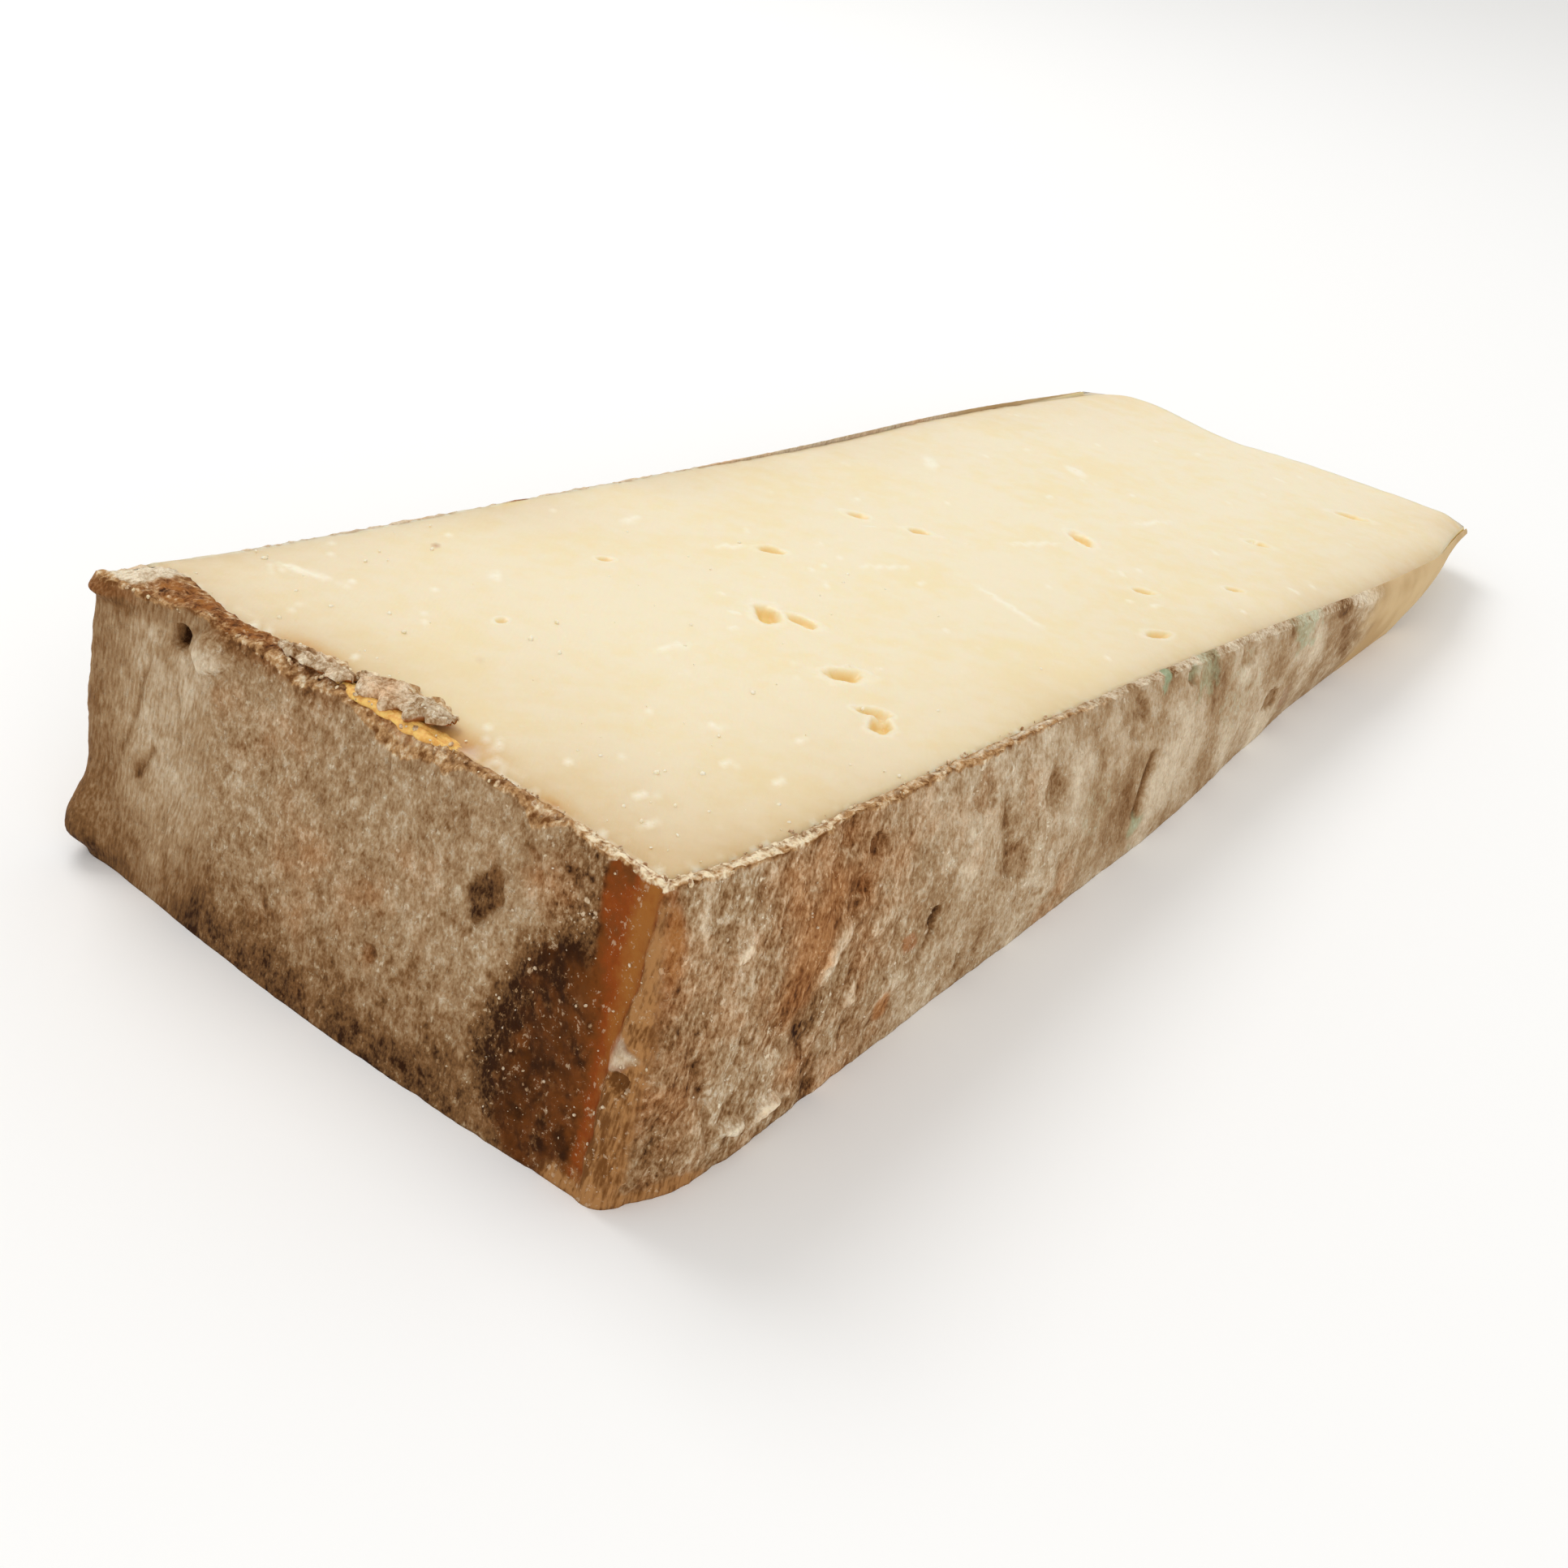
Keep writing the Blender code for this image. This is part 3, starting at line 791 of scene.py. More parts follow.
def heel_looks(v, z, here):
    """The heel: powdery in the middle, stained and stripped bare at the -V corner, with painted
    shade towards its bottom and its +V edge.
    """
    wobble = wander(here, 4, 1)
    jagged = wander(here, 1.4, 2)
    ragged = wander(here, 0.7, 5)
    relief = 0.0
    # Dark stain
    edge = -19.4 - (0.031 if z > 8.5 else 0.09) * (z - 8.5) ** 2 + 1.2 * wobble + 0.9 * jagged
    dark = step(v + 0.9 * ragged + 0.7 * jagged, edge + 2.2, edge - 2.4)
    speckled = step(v, -21.5, -25) * step(z + jagged, 19.5, 23)
    low_brown = step(z + 1.5 * wobble + jagged, 6.5, 1.5) * step(abs(v + 1), 24, 15)
    top_brown = step(z + ragged, 26.4, 28.8) * step(v, 1, 9)
    powder = 0.50 + 0.05 * wobble + 0.07 * wander(here, 2.0, 10)
    # Painted shade: darker towards the bottom and towards the +V edge
    powder -= 0.20 * step(z, 14, 1) + 0.20 * step(v, 29, 38)
    powder = mixed(powder, 0.32 + 0.08 * jagged, speckled)
    bared = -0.02 + 0.12 * wobble + 0.10 * jagged
    powder = mixed(powder, bared, dark * (1 - 0.85 * speckled))
    powder -= 0.24 * low_brown * (0.6 + 0.4 * jagged) + 0.20 * top_brown
    rust = 0.28 + 0.2 * top_brown + 0.2 * wander(here, 4.5, 11)
    glowing = dark * step(v, -20.5, -26) * step(z + jagged, 24, 18)
    glowing *= 0.62 + 0.7 * jagged + 0.5 * wobble
    flecks = 0.35 + 0.6 * dark
    contrast = 0.48 + 0.35 * speckled
    # Strip and ridge
    pepper = step(abs(v + 29.6 + 0.3 * jagged), 1.1, 0.4) * step(abs(z - 20), 4.5, 2)
    left = -28.5 - 1.8 * step(z + wobble, 21, 16.5) - 0.05 * (28 - z) + 0.35 * wobble
    right = -33.4 - 0.9 * step(z, 12, 26) + 0.35 * wobble + 0.3 * jagged
    orange = step(v + 0.35 * jagged, left + 0.5, left - 0.7) * step(z + 1.5 * jagged, 0.3, 2.5)
    strip = orange
    ridge = step(v, right + 0.6, right - 0.7)
    orange *= 1 - ridge
    powder = mixed(powder, 0.34, pepper * (1 - orange))
    tinted = 0.20 + 0.34 * step(z, 8, 26) + 0.50 * step(v, -30.6, -33.2)
    rust = mixed(rust, 0.12 + 0.3 * step(v, -27, -32), glowing)
    rust = mixed(rust, tinted + 0.2 * wobble, orange)
    powder = mixed(powder, 0.06, orange)
    relief += 0.50 * ridge - 0.30 * orange - 0.12 * dark * step(v, -26, -30)
    orange = max(orange, glowing)
    powder = mixed(powder, mixed(0.25, 0.55, step(z, 8, 24)) - 0.15 * jagged, ridge)
    foot = step(z + 0.8 * jagged, 3.0, 0.8) * step(v, -27, -31)
    ridge = max(ridge, foot)
    powder = mixed(powder, 0.50 + 0.2 * wobble, foot)
    spotted = spot(v, z, -34.2, 14.6, 1.8, 0.45 * jagged)
    powder = mixed(powder, 0.80, spotted)
    ridge *= 1 - spotted
    relief += 0.3 * spotted
    sink = spot(v, z, -34.9, 12.7, 1.0, 0.25 * jagged)
    relief -= 0.8 * sink
    powder = mixed(powder, 0.1, sink)
    # A thin scale of crust with a dark outline, and smaller marks
    shape = abs(v + 17.1 + 0.2 * (z - 20.5)) / 2.0 + abs(z - 20.4) / 2.9 + 0.3 * jagged
    scale = 1 - step(shape, 0.75, 1.15)
    rim = hump(shape - 1.05, 0.16)
    powder -= 0.34 * scale + 0.10 * rim
    relief += 0.16 * scale - 0.24 * rim
    rust += 0.1 * scale
    pits = spots(v, z, HEEL_SPOTS, 0.55 * jagged)
    powder -= 0.13 * pits
    rust += 0.15 * pits
    relief -= 0.22 * pits
    # Smooth, hairy mould towards the +V corner
    smooth = step(v + 0.5 * jagged, 17 + 0.2 * (z - 14), 19.5 + 0.2 * (z - 14))
    powder += smooth * (0.13 * hump(v - 24, 5) + 0.07 * wander(here, 7, 7) - 0.02)
    # Painted shade: darker still at the bottom of the smooth part
    powder -= smooth * 0.1 * step(z, 5, 0)
    rust -= 0.3 * smooth
    contrast = mixed(contrast, 0.02, smooth)
    flecks *= 1 - 0.8 * smooth
    scarred = scars(v + 0.25 * jagged, z, HEEL_SCARS)
    powder -= 0.28 * scarred
    relief -= 0.25 * scarred
    sooty = spot(v, z, 25.3, 25.6, 2.2, 0.4 * jagged)
    powder -= 0.16 * sooty
    pit = spot(v, z, 24.4, 27.4, 1.1, 0.2 * jagged)
    relief -= 1.4 * pit
    powder -= 0.5 * pit
    blob = spot(v, z, 20.4, 27.2, 2.2, 0.3 * jagged)
    relief += 1.2 * blob
    powder += 0.22 * blob
    rust -= 0.4 * blob
    # The corner's crust, and the bulge at its foot
    golden = step(z + 0.5 * jagged, 28.2, 29.0) * step(v, 27, 32)
    relief += 1.1 * hump(z - 28.8, 0.7) * step(v, 31, 35)
    relief += 3.8 * hump(math.hypot(v - 37, z - 3.6), 4.0)
    rust += 0.6 * golden
    powder += 0.1 * golden
    return dict(
        LOOKS, relief=relief, crust=(1 - 0.75 * max(strip, ridge)) * (1 - 0.5 * smooth),
        powder=powder, rust=rust, orange=orange, ridge=max(ridge, 0.2 * blob), flecks=flecks,
        contrast=contrast, hairs=max(smooth, 0.6 * foot))


def near_looks(u, z, here):
    """The -V side: fuzzy by the heel, then patches of pale mould, and bare at the tip."""
    wobble = wander(here, 5, 3)
    jagged = wander(here, 1.6, 4)
    slant = Vector((u * 0.92 - z * 0.39, (u * 0.39 + z * 0.92) * 0.25, 0))
    crease = 1 - abs(noise.noise(slant / 1.6)) * 2.4
    bands = noise.noise(slant / 4 + Vector((7, 3, 1)))
    wide = upright_patches(u, z, 9, 15, 5)
    streak = upright_patches(u, z, 3.2, 7, 9)
    blotch = upright_patches(u, z, 2.2, 3.0, 19)
    back = step(u, 26, 48)
    past = step(u + 0.5 * (z - 15), 62, 72)
    powder = 0.48 + 0.05 * wobble
    powder += (1 - back) * (0.10 * crease + 0.16 * bands - 0.05)
    powder += back * (0.22 * wide + 0.12 * streak + 0.12 * blotch)
    powder += 0.08 * back + past * (0.03 + 0.15 * wide)
    contrast = 0.62 - 0.17 * back - 0.25 * past
    rust = 0.48 - 0.16 * back - 0.40 * past + 0.16 * wander(here, 7, 8)
    flecks = 0.25 + 0.6 * step(streak, 0.1, 0.4) * (1 - past)
    relief = 0.22 * crease * (1 - 0.7 * back) + 0.20 * bands * (1 - back) + 0.24 * wide * back
    relief += 0.10 * streak * back
    # Bare, smooth bands and the corner
    smear = line_mark(u + 0.9 * jagged, z, (26.5, 21), (20, 13.5), 2.0) * (0.7 + 0.5 * wobble)
    powder = mixed(powder, 0.38, smear)
    orange = 0.3 * smear
    rust += 0.7 * smear
    contrast *= 1 - 0.7 * smear
    upper = step(z - 0.5 * u, 15, 24) * step(u + 0.9 * jagged, 8.5, 4.5)
    powder -= 0.18 * step(u + jagged, 9, 4) * (1 - upper)
    orange = max(orange, 0.9 * upper)
    rust += 0.9 * upper
    ridge = step(u + 0.5 * jagged, 2.5, 0.8)
    foot = step(z + 0.7 * jagged, 2.8, 1.0) * step(u + jagged, 13, 7)
    ridge = max(ridge, 0.95 * foot)
    orange *= 1 - ridge
    powder = mixed(powder, 0.45 + 0.08 * foot + 0.3 * wobble, ridge)
    shade = spot(u, z, 21.5, 11.5, 4.2, 0.5 * jagged)
    powder -= 0.16 * shade
    for cu, cz, radius, thick in NEAR_CLUMPS:
        mark = spot(u - 0.4 * (z - cz), z, cu, cz, radius, 0.6 * jagged)
        powder += 0.3 * mark * thick
        relief += 0.2 * mark
    pits = spots(u, z, NEAR_PITS, 0.55 * jagged)
    powder -= 0.22 * pits
    rust += 0.1 * pits
    relief -= 0.45 * pits
    scarred = scars(u + 0.4 * jagged, z, NEAR_SCARS)
    powder -= 0.27 * scarred
    relief -= 0.4 * scarred
    for mark in RUSTY_SPOTS:
        mark = spot(u, z, *mark, 0.5 * jagged)
        orange = max(orange, 0.4 * mark)
        rust += 0.4 * mark
    pale = line_mark(u + 0.8 * jagged, z, (74.5, 19.5), (66.5, 9.0), 2.3)
    powder += 0.04 * pale
    chips = hump(z - 3.4 - 0.5 * jagged, 0.9) * step(abs(u - 16), 6, 4) * step(jagged, -0.3, 0.1)
    relief += 0.9 * chips
    powder += 0.45 * chips
    green = max(
        strong * spot(u, z, *mark, 0.7 * jagged) for *mark, strong in GREEN_SPOTS)
    bare = step(u + 3 * wobble + 1.5 * jagged, 147, 156)
    return dict(
        LOOKS, relief=relief * (1 - bare), crust=(1 - 0.4 * past) * (1 - 0.8 * bare),
        powder=powder, rust=rust, orange=orange, ridge=ridge, green=green, flecks=flecks,
        bare=bare, contrast=contrast, fibres=1 - back, hairs=max(0.8 * foot, 0.4 * past))


def far_looks(u, z, here):
    """The +V side: mottled in wide upright patches, and bare at the tip."""
    wobble = wander(here, 6, 13)
    jagged = wander(here, 1.6, 14)
    wide = upright_patches(u, z, 9, 14, 25)
    streak = upright_patches(u, z, 3, 7, 29)
    blotch = upright_patches(u, z, 2.2, 3.0, 39)
    powder = 0.50 + 0.07 * wobble + 0.22 * wide + 0.10 * streak + 0.12 * blotch
    orange = 0.45 * step(wander(here, 14, 17) + 0.3 * jagged, 0.30, 0.5)
    rust = 0.3 + 0.25 * wander(here, 8, 18)
    powder -= 0.1 * orange
    relief = 0.25 * wide + 0.12 * streak
    pits = spots(u, z, FAR_PITS, 0.5 * jagged)
    powder -= 0.3 * pits
    relief -= 0.5 * pits
    scarred = scars(u + 0.4 * jagged, z, FAR_SCARS)
    powder -= 0.25 * scarred
    relief -= 0.35 * scarred
    orange = max(orange, spot(u, z, 57.5, 24.0, 3.0, 0.5 * jagged))
    green = 0.5 * step(wander(here, 9, 41), 0.35, 0.6) * step(u, 50, 80)
    bare = step(u + 3 * wobble + 1.5 * jagged, 152, 164)
    return dict(
        LOOKS, relief=relief * (1 - bare), crust=1 - 0.8 * bare, powder=powder, rust=rust,
        orange=orange, green=green, bare=bare, contrast=0.45, fibres=0.15, hairs=0.2)


def blended(first, second, share):
    return {name: mixed(first[name], second[name], share) for name in LOOKS}


def rind_looks(distance, point):
    """The looks at a point of the rind's path, blended round the corners."""
    u, v, z = point
    if distance < -NEAR_RADIUS:
        return near_looks(u, z, point)
    if distance < NEAR_RADIUS:
        share = step(distance, -NEAR_RADIUS, NEAR_RADIUS)
        return blended(near_looks(u, z, point), heel_looks(v, z, point), share)
    if distance < HEEL_WIDTH - FAR_RADIUS:
        return heel_looks(v, z, point)
    if distance < HEEL_WIDTH + FAR_RADIUS:
        share = step(distance, HEEL_WIDTH - FAR_RADIUS, HEEL_WIDTH + FAR_RADIUS)
        return blended(heel_looks(v, z, point), far_looks(u, z, point), share)
    return far_looks(u, z, point)


def crown_looks(found, distance, v, inward, here):
    """The crust's upper face along the cut: browner than the rind, with a few pale scales."""
    jagged = wander(here, 1.0, 71)
    found = dict(
        found, orange=0.6 * found["orange"], ridge=0.4 * found["ridge"], contrast=0.8)
    if distance >= HEEL_WIDTH:
        return dict(
            found, powder=0.80 + 0.1 * jagged, contrast=0.3, flecks=0.6, rust=0.5, frayed=0.4)
    if distance <= 0:
        flecks = 0.9 * (1 - step(here[0], 20, 34)) + 0.45
        return dict(found, powder=found["powder"] + 0.10, flecks=flecks)
    corner = step(v + jagged, 11, 18)
    rusty = corner * step(v + jagged, 33, 30)
    white = corner * step(v + jagged, 30, 32) * step(inward + 0.4 * jagged, 0.7, 1.3)
    powder = mixed(0.36, found["powder"], 0.3) + 0.12 * jagged
    powder += 0.2 * step(v, 2, -4) + 0.22 * step(v, 28, 33)
    return dict(
        found, powder=mixed(powder, 0.9, white),
        rust=(0.6 + 0.3 * jagged + 0.3 * rusty) * (1 - 0.8 * white),
        orange=max(found["orange"], (0.32 + 0.9 * jagged) * rusty) * (1 - white),
        flecks=mixed(0.35, 0.9, max(white, step(v, -21, -27))),
        frayed=1 - max(0.4 * rusty, white))


def rim_rise(distance, point):
    """How far the rind's rim stands above the cut plane, or is torn away below it."""
    u, v, _ = point
    rolled = edge_roll(u, v)
    calm = 1 - 0.8 * rolled
    rise = (0.30 * wander(point, 1.3, 31) + 0.22 * wander(point, 0.6, 32)) * calm
    rise += 0.25 * wander(point, 5, 33) * calm - 0.05
    if 0 < distance < HEEL_WIDTH:
        for centre, reach, deep in (
                (-3.2, 5.4, 2.3), (-20.3, 1.6, 1.3), (-9.5, 1.2, 0.7), (10.5, 3.6, 1.2),
                (19.0, 2.0, 0.5)):
            rise -= deep * hump(v - centre, reach)
        rise += 0.5 * hump(v - 24, 3) + 0.35 * hump(v + 24, 2)
    else:
        rise -= 1.1 * rolled + 0.85 * step(v, 0, 1) + 1.1 * tip_drop(u, v)
        if distance <= 0:
            rise += 0.35 * hump(u - 30, 2.5) - 0.4 * hump(u - 23.5, 1.0)
    return rise


def crust_relief(point, crust, strength):
    """The crust's own unevenness: swells, pits and grain."""
    swell = 0.35 * wander(point, 9, 51) + 0.16 * wander(point, 3.5, 52)
    pits = clamp(wander(point, 1.7, 53) - 0.30) * 1.2
    grain = 0.10 * wander(point, 1.1, 54) + 0.07 * wander(point, 0.55, 55)
    return (swell + crust * (grain - 0.55 * pits)) * strength


def rind_vertex(distance, row, looks):
    """One vertex of the rind's grid: its place and its painted looks."""
    thickness = looks.thickness / MM
    low = outline(distance, 0)[0]
    base, out = outline(distance, 1)
    if 0 < distance < HEEL_WIDTH:
        v = distance - HEEL_WIDTH / 2
        thickness += crust_width(v, 0.0) * step(HEEL_WIDTH - distance, 0, 3)
        thickness -= 0.35 * hump(v + 3.2, 6)
    else:
        thickness *= 1 - 0.35 * edge_roll(base.x, base.y)
    rise = rim_rise(distance, base)
    full = max(base.z - low.z, 0.5)
    top = 1 + rise / full
    lip = crown = 0.0
    if row <= SKIN_ROWS:
        height = top * row / SKIN_ROWS
        inward = 0.0
        lip = step(height, top - 0.9 / full, top) * 0.7
    elif row <= SKIN_ROWS + LIP_ROWS:
        share = (row - SKIN_ROWS) / LIP_ROWS
        crest = 0.12 * math.sin(math.pi * share) * thickness + 0.35 * share ** 3
        height = top - (mixed(0, 0.55, share ** 4) + rise * share - crest * 0.3) / full
        inward = thickness * share
        lip = 0.45 + 0.55 * abs(2 * share - 1)
        crown = 1.0
    elif row <= SKIN_ROWS + LIP_ROWS + INNER_ROWS:
        share = (row - SKIN_ROWS - LIP_ROWS) / (INNER_ROWS + 1)
        height = mixed(top - 0.9 / full, 0.02, share)
        inward = thickness
    else:
        share = (row - SKIN_ROWS - LIP_ROWS - INNER_ROWS) / FOOT_ROWS
        height = 0.0
        inward = thickness * (1 - share)
    point, out = outline(distance, height)
    found = rind_looks(distance, point)
    if crown:
        found = crown_looks(found, distance, point.y, inward, point - out * inward)
    relief = found["relief"] + crust_relief(point, found["crust"], looks.roughness)
    relief *= 0.4 + 0.6 * step(point.z, 0, 3)
    # The deepest pits stay outside the paste
    deepest = mixed(-1.0, -0.3, edge_roll(point.x, point.y)) if distance < 0 else -1.5
    relief = max(relief, deepest)
    ends = 1 - step(abs(distance - HEEL_WIDTH / 2), HEEL_WIDTH / 2 + 150, HEEL_WIDTH / 2 + 198)
    shown = clamp(1 - inward / thickness * 1.4)
    moved = point - out * inward * (0.3 + 0.7 * ends) + out * relief * shown * (0.2 + 0.8 * ends)
    if 0 < height < 0.04 and low.z < 0.01:
        moved.z = max(moved.z, 0.02)
    if crown:
        lumps = 0.22 * wander(moved, 0.9, 61) + 0.16 * wander(moved, 0.45, 62)
        moved.z += lumps * (1 - 0.8 * edge_roll(point.x, point.y))
    fraying = lip * found["frayed"] * step(top - height, 1.0 / full, 0.2 / full)
    fraying *= 1 - 0.8 * max(step(point.x, 45, 100), edge_roll(point.x, point.y))
    shares = {name: clamp(value) for name, value in found.items() if name != "relief"}
    return placed(moved), {
        "zones": (shares["powder"], shares["rust"], shares["orange"], shares["ridge"]),
        "marks": (shares["green"], shares["flecks"], shares["bare"], clamp(fraying)),
        "grains": (shares["contrast"], shares["fibres"], shares["hairs"], 0.0)}


def build_rind(looks):
    """A closed tube round the wedge's three rinded sides: skin, crown, inner face and foot."""
    columns = NEAR_COLUMNS + HEEL_COLUMNS + FAR_COLUMNS
    rows = SKIN_ROWS + LIP_ROWS + INNER_ROWS + FOOT_ROWS
    shape = bmesh.new()
    bmesh.ops.create_grid(shape, x_segments=columns, y_segments=rows, size=0.5)
    colours = shape.verts.layers.float_color
    layers = {name: colours.new(name) for name in ("zones", "marks", "grains")}
    for vertex in shape.verts:
        column = round((vertex.co.x + 0.5) * columns)
        row = round((vertex.co.y + 0.5) * rows)
        vertex.co, painted = rind_vertex(column_distance(column), row % rows, looks)
        for name, layer in layers.items():
            vertex[layer] = painted[name]
    bmesh.ops.remove_doubles(shape, verts=shape.verts, dist=1e-7)
    open_edges = [edge for edge in shape.edges if edge.is_boundary]
    bmesh.ops.holes_fill(shape, edges=open_edges, sides=0)
    bmesh.ops.recalc_face_normals(shape, faces=shape.faces)
    return finish_mesh(shape, "cheese_rind", rind_material(looks))


# ---- flakes and crumbs

# Scales of crust lifted off the heel's rim, and the amber paste that shows under the long one:
# name, start and end (U, V), width, thickness, heights of start and end, roughness
FLAKES = (
    ("rind_flake_long", (9.5, 5.6), (9.7, -6.2), 4.4, 1.7, 0.0, 0.7, 1.0),
    ("rind_flake_short", (8.3, 14.6), (8.4, 5.0), 2.8, 1.2, 0.0, 0.3, 1.0),
)
AMBER_PASTE = ("paste_under_flake", (8.1, 6.5), (8.4, -9.4), 2.8, 1.2, -0.5, -0.7, 0.35)


def build_flake(name, start, end, width, thick, low, high, rough, material):
    """A flat ragged strip between two places on the cut, amber underneath."""
    shape = bmesh.new()
    bmesh.ops.create_cube(shape, size=1)
    for axis, cuts in enumerate((99, 23, 7)):
        cut_along(shape, axis, cuts)
    colours = shape.verts.layers.float_color
    layers = {label: colours.new(label) for label in ("zones", "marks", "grains")}
    for vertex in shape.verts:
        along, side, height = vertex.co.x + 0.5, 2 * vertex.co.y, 2 * vertex.co.z
        line = Vector(start).lerp(Vector(end), along)
        taper = math.sin(math.pi * clamp(0.04 + 0.92 * along)) ** 0.4
        across = side * math.sqrt(1 - height * height / 2)
        up = height * math.sqrt(1 - side * side / 2)
        here = (line.y, 3 * side, up)
        ragged = wander((line.y, 0, math.copysign(9, side)), 1.4, 81)
        broad = width / 2 * taper * (1 + 0.8 * rough * ragged)
        u = line.x + across * broad + 0.5 * wander((line.y, 0, 0), 5, 82)
        z = top_height(u) + thick * (0.15 + 0.5 * up * taper)
        z += mixed(low, high, step(along, 0.35, 1))
        z += rough * (0.30 * wander(here, 1.6, 83) + 0.28 * wander(here, 0.7, 84))
        u += 0.15 * rough * wander(here, 0.9, 85)
        vertex.co = placed((u, line.y + 0.2 * wander(here, 1.2, 86), z))
        glow = 0.9 * step(up, -0.15, -0.5)
        powder = 0.66 + 0.2 * wander(here, 1.5, 87)
        vertex[layers["zones"]] = (powder, mixed(0.35, 1, glow), glow, 0.0)
        vertex[layers["marks"]] = (0.0, 0.8, 0.0, 0.9 * step(side, 0.55, 0.95))
        vertex[layers["grains"]] = (1.0, 0.0, 0.0, 0.0)
    return finish_mesh(shape, name, material)


def on_cut(rng):
    """A place for a crumb on the upper cut: most lie near the heel and the -V edge."""
    u = LEAN + 2 + 70 * rng.random() ** 2
    v = -34 + 68 * rng.random() ** 1.3
    return placed((u, v, top_height(u) + 0.04))


def on_rim(rng):
    """A place on the crust's rim round the heel and along the -V edge."""
    distance = rng.uniform(-60, HEEL_WIDTH - 2)
    point, out = outline(distance, 1)
    point = point - out * rng.uniform(-0.2, 1.6)
    return placed((point.x, point.y, top_height(point.x) + rng.uniform(-0.2, 0.1)))


def on_skin(rng):
    """A place on the rind by the -V corner, where the mould is grainy."""
    distance = rng.choice((rng.uniform(0, 20), rng.uniform(-50, 20)))
    point, out = outline(distance, rng.uniform(0.05, 0.97))
    found = rind_looks(distance, point)
    return placed(point + out * (found["relief"] + crust_relief(point, found["crust"], 1) + 0.02))


CRUMBS = (
    ("paste_crumbs", "paste", on_cut, (0.08, 0.30), tone(244, 228, 192), tone(250, 242, 222)),
    ("rind_crumbs", "rind", on_rim, (0.08, 0.32), tone(150, 108, 66), tone(232, 208, 170)),
    ("mould_grains", "rind", on_skin, (0.05, 0.19), tone(190, 160, 126), tone(224, 202, 174)),
)


def build_crumbs(name, count, find_place, sizes, light, dark):
    """Small lumps, each flattened and turned its own way, as one piece."""
    rng = random.Random(name)
    shape = bmesh.new()
    for _ in range(count):
        axis = Vector((rng.uniform(-1, 1), rng.uniform(-1, 1), 1)).normalized()
        turn = Matrix.Rotation(rng.uniform(0, math.tau), 4, axis)
        lump = Matrix.Diagonal((rng.uniform(0.9, 1.5), 1.0, rng.uniform(0.5, 0.8), 1.0))
        radius = mixed(*sizes, rng.random() ** 2) * MM
        bmesh.ops.create_icosphere(
            shape, subdivisions=1, radius=radius,
            matrix=Matrix.Translation(find_place(rng)) @ turn @ lump)
    return finish_mesh(shape, name, crumb_material(name, light, dark))


# ---- operators

class CHEESE_OT_paste(bpy.types.Operator):
    """Builds the pale paste with its two cut faces, eyes, nicks and frayed edges"""
    bl_idname = "cheese.paste"
    bl_label = "Paste"

    def execute(self, context):
        paste = build_paste(context.scene.cheese_paste)
        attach(paste, "root")
        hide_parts(NODE)
        return {"FINISHED"}


class CHEESE_OT_rind(bpy.types.Operator):
    """Builds the mouldy rind round the heel and both long sides"""
    bl_idname = "cheese.rind"
    bl_label = "Rind"

    def execute(self, context):
        rind = build_rind(context.scene.cheese_rind)
        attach(rind, "root")
        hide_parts(NODE)
        return {"FINISHED"}


class CHEESE_OT_flakes(bpy.types.Operator):
    """Builds the two scales of crust that lift off the heel's rim, and the paste below them"""
    bl_idname = "cheese.flakes"
    bl_label = "Flakes"

    def execute(self, context):
        material = bpy.data.materials.get("cheese_rind") or rind_material(context.scene.cheese_rind)
        for flake in FLAKES:
            piece = build_flake(*flake, material)
            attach(piece, "root")
        amber = crumb_material("amber_paste", tone(244, 198, 108), tone(226, 164, 76))
        piece = build_flake(*AMBER_PASTE, amber)
        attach(piece, "root")
        return {"FINISHED"}


class CHEESE_OT_crumbs(bpy.types.Operator):
    """Strews crumbs of paste and crust, and the mould's coarser grains"""
    bl_idname = "cheese.crumbs"
    bl_label = "Crumbs"

    def execute(self, context):
        for name, slot, find_place, sizes, light, dark in CRUMBS:
            count = getattr(context.scene.cheese_crumbs, name)
            piece = build_crumbs(name, count, find_place, sizes, light, dark)
            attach(piece, "root")
        return {"FINISHED"}


class CHEESE_OT_stage(bpy.types.Operator):
    """Builds the pale floor, the soft lights and the camera"""
    bl_idname = "cheese.stage"
    bl_label = "Stage"

    def execute(self, context):
        build_stage(context.scene.cheese_stage)
        return {"FINISHED"}


LAMP_TARGET = Vector((0, 0, 0.01))
FLOOR_REACH = 8.0
# The camera stands at a place in the wedge's millimetres, turned by azimuth, elevation and roll
CAMERA_PLACE = (-84.9, -105.7, 110.5)
CAMERA_TURN = (-55.8, 31.3, 8.4)
CAMERA_LENS = 41.74


def aimed_lamp(name, place, size, power):
    """A round soft lamp that faces the wedge."""
    lamp = bpy.data.lights.new(name, "AREA")
    lamp.shape = "DISK"
    lamp.size = size
    lamp.energy = power
    holder = bpy.data.objects.new(name, lamp)
    bpy.context.scene.collection.objects.link(holder)
    holder.location = place
    aim = LAMP_TARGET - Vector(place)
    holder.rotation_euler = aim.to_track_quat("-Z", "Y").to_euler()


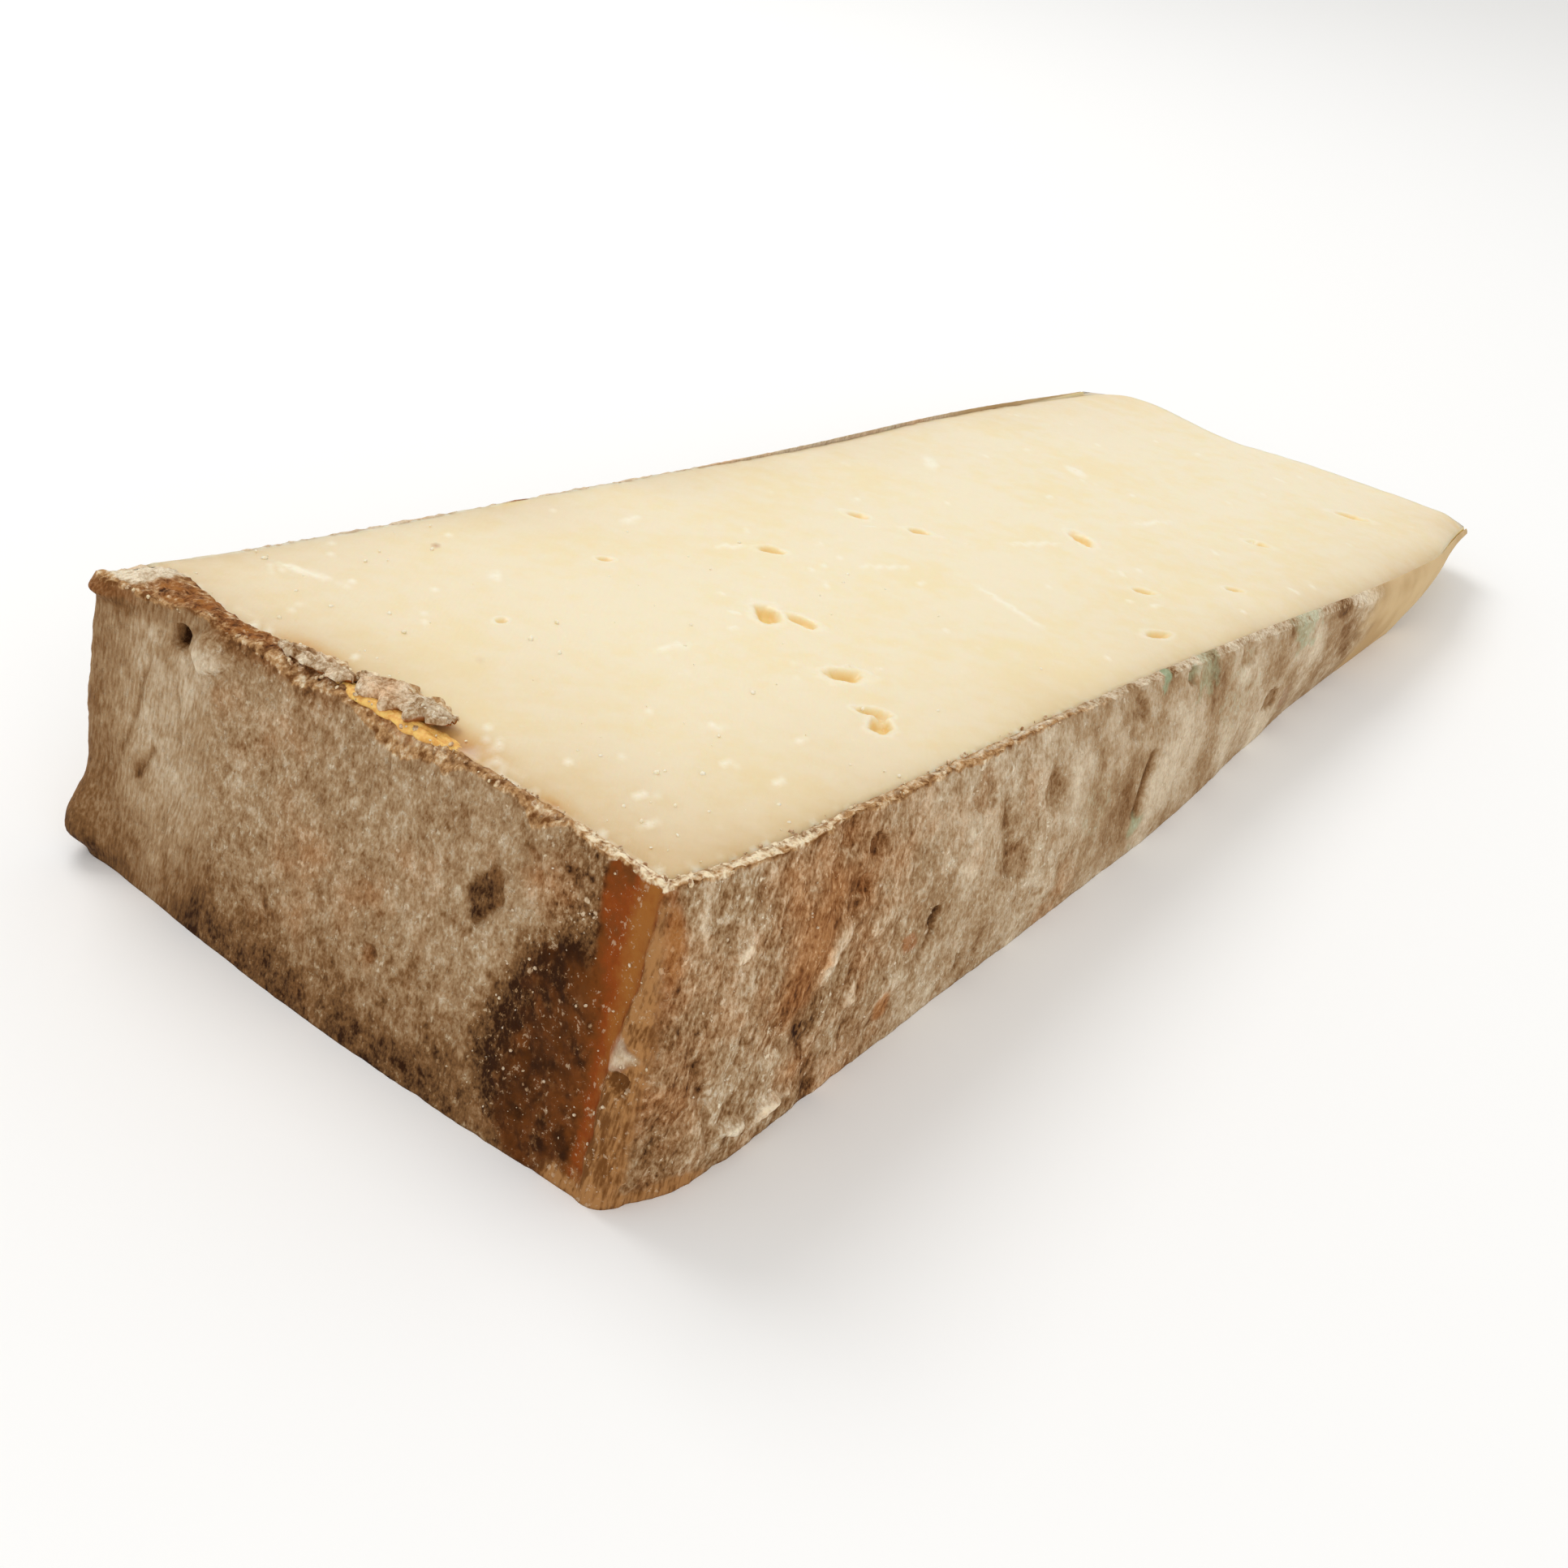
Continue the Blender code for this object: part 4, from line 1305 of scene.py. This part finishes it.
def build_stage(looks):
    """The floor, the room's light, two lamps and the camera."""
    scene = bpy.context.scene
    scene.view_settings.view_transform = "Standard"
    shape = bmesh.new()
    bmesh.ops.create_grid(shape, x_segments=1, y_segments=1, size=FLOOR_REACH)
    recipe = Recipe("floor")
    floor = finish_mesh(shape, "floor", recipe.finish(
        Base_Color=tuple(looks.floor), Roughness=0.9, Specular_IOR_Level=0.1))
    world = bpy.data.worlds.new("room")
    world.use_nodes = True
    air = world.node_tree.nodes["Background"]
    air.inputs["Color"].default_value = (1.0, 0.99, 0.97, 1.0)
    air.inputs["Strength"].default_value = looks.air
    scene.world = world
    aimed_lamp("key", (0.10, 0.55, 0.75), 0.5, looks.key)
    aimed_lamp("fill", (-0.55, -0.75, 0.42), 0.7, looks.fill)
    camera = bpy.data.cameras.new("camera")
    camera.sensor_width = 36
    camera.lens = CAMERA_LENS
    holder = bpy.data.objects.new("camera", camera)
    scene.collection.objects.link(holder)
    azimuth, elevation, roll = map(math.radians, CAMERA_TURN)
    back = Vector((
        math.sin(azimuth) * math.cos(elevation), -math.cos(azimuth) * math.cos(elevation),
        math.sin(elevation)))
    level = Vector((0, 0, 1)).cross(back).normalized()
    upright = back.cross(level)
    right = math.cos(roll) * level + math.sin(roll) * upright
    up = math.cos(roll) * upright - math.sin(roll) * level
    turn = Matrix((right, up, back)).transposed().to_4x4()
    holder.matrix_world = Matrix.Translation(placed(CAMERA_PLACE)) @ turn
    scene.camera = holder


class CHEESE_PT_panel(bpy.types.Panel):
    """Lists the wedge's pieces and their settings"""
    bl_idname = "CHEESE_PT_panel"
    bl_label = "Cheese wedge"
    bl_space_type = "VIEW_3D"
    bl_region_type = "UI"
    bl_category = "Cheese"

    def draw(self, context):
        for settings, operators in PANEL_PARTS:
            box = self.layout.box()
            group = getattr(context.scene, settings)
            for name in group.__annotations__:
                box.prop(group, name)
            for operator in operators:
                box.operator(operator)


PANEL_PARTS = (
    ("cheese_paste", ("cheese.paste",)),
    ("cheese_rind", ("cheese.rind", "cheese.flakes")),
    ("cheese_crumbs", ("cheese.crumbs",)),
    ("cheese_stage", ("cheese.stage",)),
)
SETTINGS = {
    "cheese_paste": CheesePasteSettings,
    "cheese_rind": CheeseRindSettings,
    "cheese_crumbs": CheeseCrumbSettings,
    "cheese_stage": CheeseStageSettings,
}
CLASSES = (
    CheesePasteSettings, CheeseRindSettings, CheeseCrumbSettings, CheeseStageSettings,
    CHEESE_OT_paste, CHEESE_OT_rind, CHEESE_OT_flakes, CHEESE_OT_crumbs, CHEESE_OT_stage,
    CHEESE_PT_panel,
)


def register():
    for item in CLASSES:
        bpy.utils.register_class(item)
    for name, group in SETTINGS.items():
        setattr(bpy.types.Scene, name, bpy.props.PointerProperty(type=group))


def unregister():
    for name in SETTINGS:
        delattr(bpy.types.Scene, name)
    for item in reversed(CLASSES):
        bpy.utils.unregister_class(item)


def main():
    register()
    bpy.ops.cheese.paste()
    bpy.ops.cheese.rind()
    bpy.ops.cheese.flakes()
    bpy.ops.cheese.crumbs()
    bpy.ops.cheese.stage()


if __name__ == "__main__":
    main()
